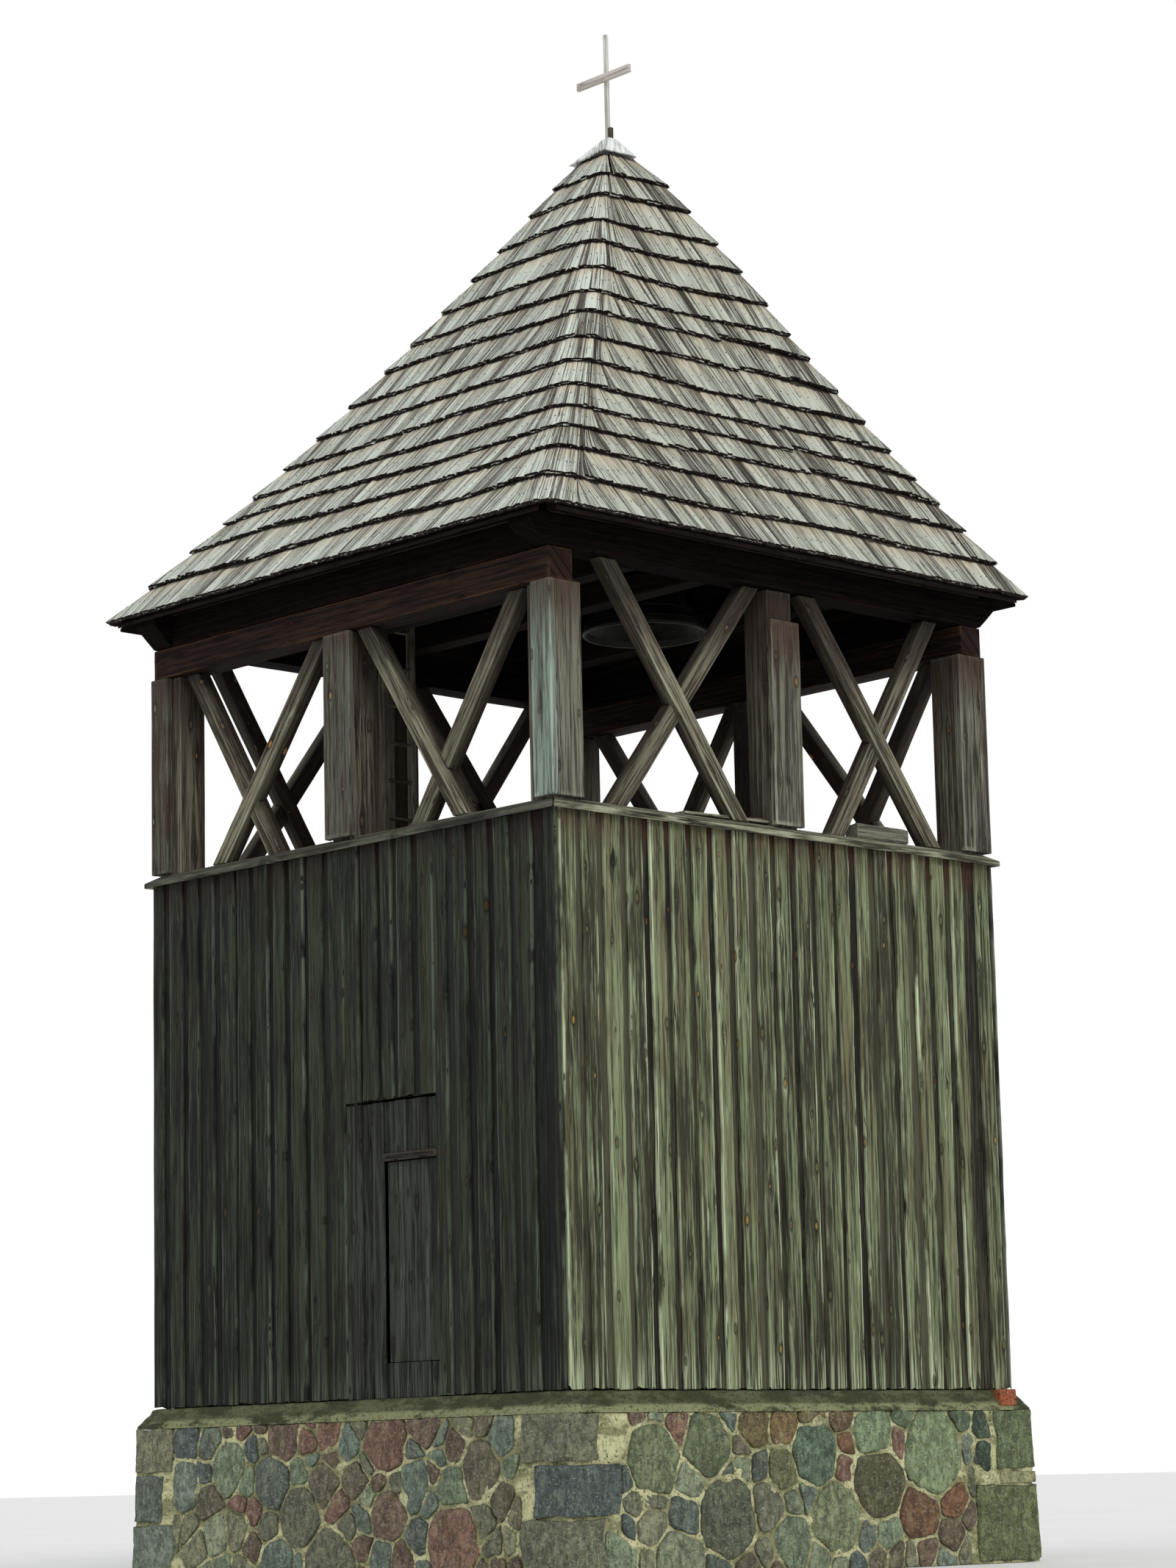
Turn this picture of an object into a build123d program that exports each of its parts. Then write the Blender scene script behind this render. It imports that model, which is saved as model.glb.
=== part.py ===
from build123d import *
import os
from math import cos, hypot, radians, sin, sqrt

# Timber bell tower on a rubble plinth. Millimetres, +Z up, the door in the front (-Y) face.

# Driving dimensions
WALL_FACE = 2250.0          # centre of the tower to the outside of the wall boards
WALL_THICK = 50.0           # two layers of boards
PLINTH_HEIGHT = 1250.0      # lowest ground to the foot of the wall boards
BELFRY_FLOOR_LINE = 3900.0  # foot of the boards to the underside of the drip ledge
PLATE_LINE = 5513.0         # foot of the boards to the underside of the lower plates
EAVE_OVERHANG = 280.0       # face of the plates to the eave
ROOF_RISE = 3760.0          # eave to apex
APEX_SHIFT = (290.0, 310.0) # the old roof leans: the apex stands off the centre line
CROSS_RISE = 860.0          # apex to the top of the cross

# Stonework
PLINTH_TOP_FACE = 2347.0
PLINTH_FOOT_FACE = 2375.0
PLINTH_THICK = 450.0
PLINTH_SHOULDER = 150.0     # top of the stones below the foot of the boards
BED_CREST_FACE = 2262.0
BED_CREST_DROP = 18.0       # top of the mortar bed below the foot of the boards
BED_NOSE = 25.0

# Frame timbers
SILL_SIZE = (200.0, 240.0)
POST_SIZE = 240.0
MID_POST_WIDTH = 260.0
MID_POST_SHIFT = {"front": -40.0, "right": 70.0, "back": 40.0, "left": -70.0}
RAIL_SIZE = (150.0, 200.0)
PLATE_SIZE = (230.0, 232.0)
PLATE_SETBACK = 10.0        # wall face to the face of the plates
PLATE_TAIL = 170.0          # side plates run on past the lower plates
PLATE_TAIL_RISE = 150.0     # underside of that tail is cut up to this height
TIE_HEIGHT = 170.0
TIE_WIDTH = 180.0
CASING_THICK = 57.0
CASING_CORNER = (205.0, 300.0)
CASING_MID = 300.0
BRACE_WIDTH = 130.0
BRACE_DEPTH = 120.0
BRACE_STAGGER = 30.0        # one brace of each pair stands this far proud of the other

# Ledge round the tower under the belfry
LEDGE_OVERHANG = 50.0
LEDGE_THICK = 50.0
LEDGE_FALL = 35.0

# Door
DOORWAY = (0.0, 980.0)
DOORWAY_HEAD = 2075.0
DOORWAY_SLIT = 15.0
BOARDING_SETBACK = 12.0
LEAF_WIDTH = 554.0
LEAF_EDGE = 12.0            # hinge side of the leaf to the side of the doorway
LEAF_HEAD = 1634.0
LEAF_THICK = 30.0
LEAF_SETBACK = 38.0
LEAF_GAP = 6.0
LINTEL_HEIGHT = 56.0
DOOR_STUD = (120.0, 140.0)
HINGE_HEIGHTS = (420.0, 1350.0)
HINGE_PIN_R = 6.0
HINGE_EYE_R = 11.0
HINGE_FIT = 0.3
HINGE_CLEAR = 5.0           # eye of the strap to the stud
STRAP_LENGTH = 400.0
STRAP_HEIGHT = 40.0
STRAP_THICK = 5.0

# Floors
FLOOR_THICK = 40.0
JOIST_SIZE = (120.0, 160.0)
JOIST_LINES = (-1895.0, -1035.0, -345.0, 345.0, 1035.0, 1895.0)
HATCH_SIZE = (730.0, 900.0)
HATCH_BACK = 230.0          # ladder to the edge of the hatch behind it
HATCH_SIDE = 200.0          # side of the ladder to the edge of the hatch beside it

# Roof
ROOF_PLUMB_DEPTH = 120.0    # shingles and boarding, measured plumb
EAVE_NOSE = 30.0
ROOF_HEEL = 186.0           # top of the tie beams to the shingles, over the face of the plates
SWEEP_CUT = 153.0           # the slopes would meet this far over the apex of the cap
SWEEP_SHARE = 0.776         # share of the rise that a straight roof from the eave would have
RAFTER_PLUMB_DEPTH = 240.0
RAFTER_WIDTH = 100.0
HIP_RAFTER_WIDTH = 120.0
RAFTER_LINES = (-1100.0, 0.0, 1100.0)
HIP_RAFTER_DROP = 115.0
MAST_SIZE = 160.0
MAST_LENGTH = 1000.0
CAP_HEIGHT = 193.0
CAP_COVER = 37.0            # the shingles run this far up into the cap
CAP_LAP = 45.0              # the cap stands this far out over them
CAP_TOP = 70.0

# Cross
CROSS_POST = (32.0, 32.0)
CROSS_BAR = (594.0, 30.0, 64.0)
CROSS_BAR_RISE = 500.0      # apex to the middle of the bar
MAST_END = (34.0, 34.0, 90.0)

# Bell
BELL_CENTRE = (0.0, 850.0)
BELL_MOUTH_R = 495.0
BELL_MOUTH_LINE = 5890.0
BELL_HEIGHT = 640.0
BELL_CANON_HEIGHT = 90.0
BELL_WALL = 30.0
HEADSTOCK = (190.0, 210.0)
GUDGEON_R = 20.0
GUDGEON_LENGTH = 150.0
BEARING_FIT = 0.3
BELL_BEAM_CLEAR = 110.0     # mouth of the bell to each bell beam
TRESTLE_THICK = 120.0
TRESTLE_LEG = 130.0
TRESTLE_SPREAD = 900.0
HEADSTOCK_END_GAP = 12.0
CLAPPER_BALL_R = 45.0
CLAPPER_ROD_R = 13.0

# Ladder
LADDER_FACE_X = -1600.0
LADDER_SIDE_Y = -500.0
LADDER_WIDTH = 330.0
RAIL_SECTION = (40.0, 70.0)
RUNG_R = 16.0
RUNG_STEP = 300.0

# Heights above the lowest ground
FOOT = PLINTH_HEIGHT
SILL_TOP = FOOT + SILL_SIZE[1]
LEDGE_LINE = FOOT + BELFRY_FLOOR_LINE
WALL_TOP = LEDGE_LINE + LEDGE_THICK - LEDGE_FALL
RAIL_TOP = WALL_TOP + LEDGE_FALL + LEDGE_THICK
PLATE_FOOT = FOOT + PLATE_LINE
PLATE_TOP = PLATE_FOOT + PLATE_SIZE[1]
SIDE_PLATE_TOP = PLATE_TOP + PLATE_SIZE[1]
TIE_TOP = SIDE_PLATE_TOP + TIE_HEIGHT
FRAME_FACE = WALL_FACE - WALL_THICK
PLATE_FACE = WALL_FACE - PLATE_SETBACK
LEDGE_REACH = WALL_FACE + LEDGE_OVERHANG
EAVE_REACH = PLATE_FACE + EAVE_OVERHANG
SWEEP_RISE = ROOF_RISE + SWEEP_CUT


def sweep_rise(climb):
    """Rise of the shingles over the eave, this far in from it."""
    share = climb / EAVE_REACH
    return SWEEP_RISE * (SWEEP_SHARE * share + (1 - SWEEP_SHARE) * share**2)


EAVE_LINE = TIE_TOP + ROOF_HEEL - sweep_rise(EAVE_OVERHANG)
APEX_LINE = EAVE_LINE + ROOF_RISE
CAP_LINE = APEX_LINE - CAP_HEIGHT
ROOF_HEAD = CAP_LINE + CAP_COVER
PIVOT_LINE = FOOT + BELL_MOUTH_LINE + BELL_HEIGHT + BELL_CANON_HEIGHT + HEADSTOCK[1] / 2

TURN = {"front": 0.0, "right": 90.0, "back": 180.0, "left": 270.0}
SIDES = ("front", "right", "back", "left")

os.makedirs("parts", exist_ok=True)


def save(part, name):
    part.label = name
    export_step(part, f"parts/{name}.step")


def plan(side, height):
    """Level plane seen from above, with its X axis along that face of the tower."""
    return Plane.XY.offset(height).rotated((0, 0, TURN[side]))


def elevation(side, distance):
    """Upright plane parallel to a face, X along the face, Y up, normal outwards."""
    turn = radians(TURN[side])
    out = Vector(sin(turn), -cos(turn), 0)
    along = Vector(cos(turn), sin(turn), 0)
    return Plane(origin=out * distance, x_dir=along, z_dir=out)


def section(side):
    """Upright plane across a face: X outwards from the centre line, Y up."""
    face = elevation(side, 0)
    return Plane(origin=(0, 0, 0), x_dir=face.z_dir, z_dir=face.x_dir * -1)


def on_face(side, point):
    """A place in plan, as seen along that face."""
    turn = radians(TURN[side])
    x, y = point
    return x * cos(turn) + y * sin(turn), y * cos(turn) - x * sin(turn)


def block(plane, span_x, span_y, height):
    """Squared timber or slab: two spans on a plane, and its height along the normal."""
    with BuildPart() as piece:
        with BuildSketch(plane):
            with Locations(((span_x[0] + span_x[1]) / 2, (span_y[0] + span_y[1]) / 2)):
                Rectangle(span_x[1] - span_x[0], span_y[1] - span_y[0])
        extrude(amount=height)
    return piece.part


def group(*solids):
    """Like pieces that share a node: they keep apart as separate solids."""
    return Compound(children=list(solids))


# Plinth: one ring of rubble with a slight batter, and the weathered mortar bed on it
SHOULDER_LINE = FOOT - PLINTH_SHOULDER
INNER_FACE = PLINTH_TOP_FACE - PLINTH_THICK

with BuildPart() as stone_plinth:
    with BuildSketch(Plane.XY):
        Rectangle(2 * PLINTH_FOOT_FACE, 2 * PLINTH_FOOT_FACE)
    with BuildSketch(Plane.XY.offset(SHOULDER_LINE)):
        Rectangle(2 * PLINTH_TOP_FACE, 2 * PLINTH_TOP_FACE)
    loft()
    with BuildSketch(Plane.XY):
        Rectangle(2 * INNER_FACE, 2 * INNER_FACE)
    extrude(amount=SHOULDER_LINE, mode=Mode.SUBTRACT)
save(stone_plinth.part, "stone_plinth")

with BuildPart() as mortar_bed:
    with BuildSketch(Plane.XY.offset(SHOULDER_LINE)):
        Rectangle(2 * PLINTH_TOP_FACE, 2 * PLINTH_TOP_FACE)
    extrude(amount=BED_NOSE)
    with BuildSketch(Plane.XY.offset(SHOULDER_LINE + BED_NOSE)):
        Rectangle(2 * PLINTH_TOP_FACE, 2 * PLINTH_TOP_FACE)
    with BuildSketch(Plane.XY.offset(FOOT - BED_CREST_DROP)):
        Rectangle(2 * BED_CREST_FACE, 2 * BED_CREST_FACE)
    loft()
    with BuildSketch(Plane.XY.offset(FOOT - BED_CREST_DROP)):
        Rectangle(2 * FRAME_FACE, 2 * FRAME_FACE)
    extrude(amount=BED_CREST_DROP)
    with BuildSketch(Plane.XY.offset(SHOULDER_LINE)):
        Rectangle(2 * INNER_FACE, 2 * INNER_FACE)
    extrude(amount=PLINTH_SHOULDER, mode=Mode.SUBTRACT)
save(mortar_bed.part, "mortar_bed")

# Sills: front and back run through, the sides fit between them
def sill(side, reach):
    return block(plan(side, FOOT), (-reach, reach), (-FRAME_FACE, -FRAME_FACE + SILL_SIZE[0]), SILL_SIZE[1])


save(group(sill("front", FRAME_FACE), sill("back", FRAME_FACE)), "sills_front_and_back")
SIDE_SILL_REACH = FRAME_FACE - SILL_SIZE[0]
save(group(sill("left", SIDE_SILL_REACH), sill("right", SIDE_SILL_REACH)), "sills_left_and_right")


# Posts: corner posts to the lower plates, mid posts to whichever plate is over them
def plate_over(side):
    return PLATE_FOOT if side in ("front", "back") else PLATE_TOP


def mid_post_span(side):
    centre = MID_POST_SHIFT[side]
    return centre - MID_POST_WIDTH / 2, centre + MID_POST_WIDTH / 2


POST_DEPTH = (-FRAME_FACE, -FRAME_FACE + POST_SIZE)
CORNER_SPAN = (FRAME_FACE - POST_SIZE, FRAME_FACE)
corner_posts = [block(plan(side, SILL_TOP), CORNER_SPAN, POST_DEPTH, PLATE_FOOT - SILL_TOP) for side in SIDES]
save(group(*corner_posts), "corner_posts")
mid_posts = [
    block(plan(side, SILL_TOP), mid_post_span(side), POST_DEPTH, plate_over(side) - SILL_TOP) for side in SIDES
]
save(group(*mid_posts), "mid_posts")

# Walls: front and back boards cover the ends of the side walls
WALL_HEIGHT = WALL_TOP - FOOT


def wall(side, span, foot=FOOT):
    return block(plan(side, foot), span, (-WALL_FACE, -FRAME_FACE), WALL_TOP - foot)


save(wall("front", (-WALL_FACE, DOORWAY[0])), "front_wall_left")
save(wall("front", (DOORWAY[1], WALL_FACE)), "front_wall_right")
save(wall("front", DOORWAY, FOOT + DOORWAY_HEAD), "front_wall_over_door")
save(wall("back", (-WALL_FACE, WALL_FACE)), "back_wall")
save(wall("right", (-FRAME_FACE, FRAME_FACE)), "right_wall")
save(wall("left", (-FRAME_FACE, FRAME_FACE)), "left_wall")

# Belfry rails between the posts, under the braces
rails = []
for side in SIDES:
    post_edges = mid_post_span(side)
    inner = FRAME_FACE - POST_SIZE
    depth = (-FRAME_FACE, -FRAME_FACE + RAIL_SIZE[0])
    for span in ((-inner, post_edges[0]), (post_edges[1], inner)):
        rails.append(block(plan(side, RAIL_TOP - RAIL_SIZE[1]), span, depth, RAIL_SIZE[1]))
save(group(*rails), "belfry_rails")

# Drip ledge: a sloping board along each face, mitred at the corners
def drip_ledge(side):
    with BuildPart() as ledge:
        with BuildSketch(section(side)):
            with BuildLine():
                Polyline(
                    (FRAME_FACE, WALL_TOP),
                    (WALL_FACE, WALL_TOP),
                    (LEDGE_REACH, WALL_TOP - LEDGE_FALL / 2),
                    (LEDGE_REACH, WALL_TOP - LEDGE_FALL / 2 + LEDGE_THICK),
                    (FRAME_FACE, RAIL_TOP),
                    close=True,
                )
            make_face()
        extrude(amount=LEDGE_REACH, both=True)
        with BuildSketch(plan(side, LEDGE_LINE - LEDGE_THICK)):
            with BuildLine():
                Polyline((0, 0), (-LEDGE_REACH, -LEDGE_REACH), (LEDGE_REACH, -LEDGE_REACH), close=True)
            make_face()
        extrude(amount=4 * LEDGE_THICK, mode=Mode.INTERSECT)
    return ledge.part


save(group(drip_ledge("front"), drip_ledge("back")), "drip_ledges_front_and_back")
save(group(drip_ledge("left"), drip_ledge("right")), "drip_ledges_left_and_right")

# Casings: boards on the outer faces of the posts, standing on the ledge
CASING_FOOT = RAIL_TOP
CASING_FACE = FRAME_FACE + CASING_THICK


def casings(side, outer, corner_width):
    inner = CASING_FACE - corner_width
    middle = MID_POST_SHIFT[side]
    spans = ((-outer, -inner), (middle - CASING_MID / 2, middle + CASING_MID / 2), (inner, outer))
    depth = (-CASING_FACE, -FRAME_FACE)
    return [block(plan(side, CASING_FOOT), span, depth, PLATE_FOOT - CASING_FOOT) for span in spans]


FRONT_CASING, SIDE_CASING = CASING_CORNER
save(
    group(*casings("front", CASING_FACE, FRONT_CASING), *casings("back", CASING_FACE, FRONT_CASING)),
    "post_casings_front_and_back",
)
save(
    group(*casings("left", FRAME_FACE, SIDE_CASING), *casings("right", FRAME_FACE, SIDE_CASING)),
    "post_casings_left_and_right",
)

# Plates: the front and back ones lie on the posts, the side ones cross over them
lower_plates = [
    block(
        plan(side, PLATE_FOOT),
        (-PLATE_FACE, PLATE_FACE),
        (-PLATE_FACE, -PLATE_FACE + PLATE_SIZE[0]),
        PLATE_SIZE[1],
    )
    for side in ("front", "back")
]
save(group(*lower_plates), "lower_plates")


def upper_plate(side):
    with BuildPart() as plate:
        with BuildSketch(elevation(side, PLATE_FACE)):
            with BuildLine():
                Polyline(
                    (-PLATE_FACE, PLATE_TOP),
                    (PLATE_FACE, PLATE_TOP),
                    (PLATE_FACE + PLATE_TAIL, PLATE_TOP + PLATE_TAIL_RISE),
                    (PLATE_FACE + PLATE_TAIL, SIDE_PLATE_TOP),
                    (-PLATE_FACE - PLATE_TAIL, SIDE_PLATE_TOP),
                    (-PLATE_FACE - PLATE_TAIL, PLATE_TOP + PLATE_TAIL_RISE),
                    close=True,
                )
            make_face()
        extrude(amount=-PLATE_SIZE[0])
    return plate.part


# Front and back plates of the upper layer fill in between the side ones
INNER_PLATE_FACE = PLATE_FACE - PLATE_SIZE[0]
end_plates = [
    block(
        plan(side, PLATE_TOP),
        (-INNER_PLATE_FACE, INNER_PLATE_FACE),
        (-PLATE_FACE, -INNER_PLATE_FACE),
        PLATE_SIZE[1],
    )
    for side in ("front", "back")
]
save(group(upper_plate("left"), upper_plate("right"), *end_plates), "upper_plates")

# Tie beams laid across the side plates, the bell beams among them
BELL_BEAM_REACH = BELL_MOUTH_R + BELL_BEAM_CLEAR


def tie_beam(span):
    return block(Plane.XY.offset(SIDE_PLATE_TOP), (-PLATE_FACE, PLATE_FACE), span, TIE_HEIGHT)


ties = (
    tie_beam((-PLATE_FACE, -PLATE_FACE + TIE_WIDTH)),
    tie_beam((LADDER_SIDE_Y - TIE_WIDTH, LADDER_SIDE_Y)),
    tie_beam((PLATE_FACE - TIE_WIDTH, PLATE_FACE)),
)
FRONT_BEAM = (BELL_CENTRE[1] - BELL_BEAM_REACH - TIE_WIDTH, BELL_CENTRE[1] - BELL_BEAM_REACH)
BACK_BEAM = (BELL_CENTRE[1] + BELL_BEAM_REACH, BELL_CENTRE[1] + BELL_BEAM_REACH + TIE_WIDTH)
save(group(*ties, tie_beam(FRONT_BEAM), tie_beam(BACK_BEAM)), "tie_beams")

# Pole plates on the side plates, in the gaps between those beams
beam_edges = (
    (-PLATE_FACE + TIE_WIDTH, LADDER_SIDE_Y - TIE_WIDTH),
    (LADDER_SIDE_Y, FRONT_BEAM[0]),
    (FRONT_BEAM[1], BACK_BEAM[0]),
    (BACK_BEAM[1], PLATE_FACE - TIE_WIDTH),
)
pole_plates = []
for span_x in ((-PLATE_FACE, -PLATE_FACE + TIE_WIDTH), (PLATE_FACE - TIE_WIDTH, PLATE_FACE)):
    for span_y in beam_edges:
        pole_plates.append(block(Plane.XY.offset(SIDE_PLATE_TOP), span_x, span_y, TIE_HEIGHT))
save(group(*pole_plates), "pole_plates")

# Braces: a crossed pair in each bay, halved into each other.
# Top and foot of the brace at the mid post, from the middle of that post, then top and
# foot of the brace at the corner, from the wall face.
BRACE_BAYS = {
    ("front", -1): (250.0, 1460.0, 400.0, 1380.0),
    ("front", 1): (250.0, 1270.0, 430.0, 1510.0),
    ("right", -1): (250.0, 1625.0, 610.0, 1875.0),
    ("right", 1): (300.0, 1600.0, 500.0, 1595.0),
    ("back", -1): (250.0, 1460.0, 400.0, 1380.0),
    ("back", 1): (250.0, 1270.0, 430.0, 1510.0),
    ("left", -1): (250.0, 1625.0, 610.0, 1875.0),
    ("left", 1): (300.0, 1600.0, 500.0, 1595.0),
}
CORNER_BRACE_PROUD = (("right", -1), ("left", -1))


def brace_outline(top, foot, head_line):
    half = BRACE_WIDTH / 2 * hypot(top - foot, head_line - RAIL_TOP) / (head_line - RAIL_TOP)
    return (foot - half, RAIL_TOP), (foot + half, RAIL_TOP), (top + half, head_line), (top - half, head_line)


def brace(side, outline, face, depth, other, notch_face, notch_depth):
    """One brace, housed where the other one of its pair crosses it."""
    with BuildPart() as timber:
        with BuildSketch(elevation(side, face)):
            with BuildLine():
                Polyline(*outline, close=True)
            make_face()
        extrude(amount=-depth)
        with BuildSketch(elevation(side, notch_face)):
            with BuildLine():
                Polyline(*other, close=True)
            make_face()
        extrude(amount=-notch_depth, mode=Mode.SUBTRACT)
    return timber.part


outer_braces = []
inner_braces = []
INNER_FACE_OF_BRACES = FRAME_FACE - BRACE_STAGGER
HALVING = FRAME_FACE - (BRACE_STAGGER + BRACE_DEPTH) / 2
for (side, hand), (mid_top, mid_foot, corner_top, corner_foot) in BRACE_BAYS.items():
    middle = MID_POST_SHIFT[side]
    corner = hand * WALL_FACE
    head_line = plate_over(side)
    from_mid = brace_outline(middle + hand * mid_top, middle + hand * mid_foot, head_line)
    from_corner = brace_outline(corner - hand * corner_top, corner - hand * corner_foot, head_line)
    outer, inner = (from_corner, from_mid) if (side, hand) in CORNER_BRACE_PROUD else (from_mid, from_corner)
    outer_braces.append(brace(side, outer, FRAME_FACE, BRACE_DEPTH, inner, HALVING, BRACE_DEPTH))
    inner_braces.append(brace(side, inner, INNER_FACE_OF_BRACES, BRACE_DEPTH, outer, FRAME_FACE, FRAME_FACE - HALVING))
save(group(*outer_braces), "outer_braces")
save(group(*inner_braces), "inner_braces")

# Floors: boards on the sills inside, and boards on joists under the belfry
GROUND_REACH = FRAME_FACE - SILL_SIZE[0]
ground_floor = block(
    Plane.XY.offset(FOOT), (-GROUND_REACH, GROUND_REACH), (-GROUND_REACH, GROUND_REACH), FLOOR_THICK
)
save(ground_floor, "ground_floor")

FLOOR_REACH = FRAME_FACE - RAIL_SIZE[0]
JOIST_TOP = RAIL_TOP - FLOOR_THICK
HATCH_AT = (
    LADDER_FACE_X - HATCH_BACK + HATCH_SIZE[0] / 2,
    LADDER_SIDE_Y - HATCH_SIDE + HATCH_SIZE[1] / 2,
)
with BuildPart() as belfry_floor:
    with BuildSketch(Plane.XY.offset(JOIST_TOP)):
        Rectangle(2 * FLOOR_REACH, 2 * FLOOR_REACH)
        with Locations(HATCH_AT):
            Rectangle(*HATCH_SIZE, mode=Mode.SUBTRACT)
    extrude(amount=FLOOR_THICK)
    for side in SIDES:
        with BuildSketch(plan(side, JOIST_TOP)):
            for span in (CORNER_SPAN, mid_post_span(side)):
                with Locations(((span[0] + span[1]) / 2, -FRAME_FACE + POST_SIZE / 2)):
                    Rectangle(span[1] - span[0], POST_SIZE)
        extrude(amount=FLOOR_THICK, mode=Mode.SUBTRACT)
save(belfry_floor.part, "belfry_floor")

joists = []
for line in JOIST_LINES:
    span = (line - JOIST_SIZE[0] / 2, line + JOIST_SIZE[0] / 2)
    joists.append(
        block(Plane.XY.offset(JOIST_TOP - JOIST_SIZE[1]), span, (-FLOOR_REACH, FLOOR_REACH), JOIST_SIZE[1])
    )
save(group(*joists), "floor_joists")

# Doorway: a stud and a head inside, fixed boarding in the opening, a small door in that
STUD_SPAN = (DOORWAY[1], DOORWAY[1] + DOOR_STUD[0])
STUD_DEPTH = (-FRAME_FACE, -FRAME_FACE + DOOR_STUD[1])
HEAD_FOOT = FOOT + DOORWAY_HEAD
with BuildPart() as door_frame:
    with BuildSketch(elevation("front", FRAME_FACE)):
        with BuildLine():
            Polyline(
                (STUD_SPAN[0], SILL_TOP),
                (STUD_SPAN[1], SILL_TOP),
                (STUD_SPAN[1], HEAD_FOOT + DOOR_STUD[0]),
                (mid_post_span("front")[1], HEAD_FOOT + DOOR_STUD[0]),
                (mid_post_span("front")[1], HEAD_FOOT),
                (STUD_SPAN[0], HEAD_FOOT),
                close=True,
            )
        make_face()
    extrude(amount=-DOOR_STUD[1])
save(door_frame.part, "door_frame")

BOARDING_FACE = WALL_FACE - BOARDING_SETBACK
BOARDING_HEAD = FOOT + DOORWAY_HEAD - DOORWAY_SLIT
LEAF_SPAN = (DOORWAY[1] - LEAF_EDGE - LEAF_WIDTH, DOORWAY[1] - LEAF_EDGE)
GAP_SPAN = (LEAF_SPAN[0] - LEAF_GAP, DOORWAY[1])
LINTEL_FOOT = FOOT + LEAF_HEAD + LEAF_GAP
with BuildPart() as door_boarding:
    with BuildSketch(elevation("front", BOARDING_FACE)):
        with BuildLine():
            Polyline(
                (DOORWAY[0], FOOT),
                (DOORWAY[1], FOOT),
                (DOORWAY[1], SILL_TOP),
                (GAP_SPAN[0], SILL_TOP),
                (GAP_SPAN[0], LINTEL_FOOT + LINTEL_HEIGHT),
                (DOORWAY[1], LINTEL_FOOT + LINTEL_HEIGHT),
                (DOORWAY[1], BOARDING_HEAD),
                (DOORWAY[0], BOARDING_HEAD),
                close=True,
            )
        make_face()
    extrude(amount=-(BOARDING_FACE - FRAME_FACE))
save(door_boarding.part, "door_boarding")

lintel = block(
    plan("front", LINTEL_FOOT), (GAP_SPAN[0], DOORWAY[1]), (-WALL_FACE, -FRAME_FACE), LINTEL_HEIGHT
)
save(lintel, "door_lintel")

# Door leaf, hung inside on two pintles so that it opens inwards
LEAF_FACE = WALL_FACE - LEAF_SETBACK
LEAF_BACK = LEAF_FACE - LEAF_THICK
LEAF_FOOT = SILL_TOP + LEAF_GAP
leaf = block(plan("front", LEAF_FOOT), LEAF_SPAN, (-LEAF_FACE, -LEAF_BACK), FOOT + LEAF_HEAD - LEAF_FOOT)
save(leaf, "door_leaf")

HINGE_AT = (DOORWAY[1] - HINGE_EYE_R - HINGE_CLEAR, -LEAF_BACK + STRAP_THICK + HINGE_PIN_R + HINGE_FIT)
straps = []
pintles = []
for height in HINGE_HEIGHTS:
    foot = FOOT + height
    with BuildPart() as strap:
        with BuildSketch(Plane.XY.offset(foot)):
            with Locations(HINGE_AT):
                Circle(HINGE_EYE_R)
            with Locations((HINGE_AT[0] - STRAP_LENGTH / 2, -LEAF_BACK + STRAP_THICK / 2)):
                Rectangle(STRAP_LENGTH, STRAP_THICK)
            with Locations(HINGE_AT):
                Circle(HINGE_PIN_R + HINGE_FIT, mode=Mode.SUBTRACT)
        extrude(amount=STRAP_HEIGHT)
    straps.append(strap.part)
    with BuildPart() as pintle:
        with BuildSketch(Plane.XY.offset(foot - HINGE_FIT)):
            with Locations(HINGE_AT):
                Circle(HINGE_PIN_R)
        extrude(amount=STRAP_HEIGHT)
        with BuildSketch(Plane.XY.offset(foot - HINGE_FIT)):
            with Locations(((HINGE_AT[0] - HINGE_PIN_R + STUD_SPAN[0]) / 2, HINGE_AT[1])):
                Rectangle(STUD_SPAN[0] - HINGE_AT[0] + HINGE_PIN_R, 2 * HINGE_PIN_R)
        extrude(amount=-2 * HINGE_PIN_R)
    pintles.append(pintle.part)
save(group(*straps), "door_straps")
save(group(*pintles), "door_pintles")


# Roof: four swept slopes that meet at the hips
SKY = APEX_LINE + CROSS_RISE


def reach_at(height):
    """How far out the shingles are at a height: the sweep's rise solved for its run."""
    bend = 1 - SWEEP_SHARE
    share = (sqrt(SWEEP_SHARE**2 + 4 * bend * (height - EAVE_LINE) / SWEEP_RISE) - SWEEP_SHARE) / (2 * bend)
    return EAVE_REACH * (1 - share)


def sweep_face(foot_at, head_at, top_drop, bottom_drop):
    """Band under the sweep from the eave to the apex, both edges lowered plumb."""
    middle = (foot_at + head_at) / 2
    middle_line = EAVE_LINE + SWEEP_RISE * SWEEP_SHARE / 2
    top_line = EAVE_LINE + SWEEP_RISE
    with BuildSketch(Plane.XY, mode=Mode.PRIVATE) as band:
        with BuildLine():
            for drop in (top_drop, bottom_drop):
                Bezier((foot_at, EAVE_LINE - drop), (middle, middle_line - drop), (head_at, top_line - drop))
            Line((foot_at, EAVE_LINE - top_drop), (foot_at, EAVE_LINE - bottom_drop))
            Line((head_at, top_line - top_drop), (head_at, top_line - bottom_drop))
        make_face()
    return band.sketch


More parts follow.
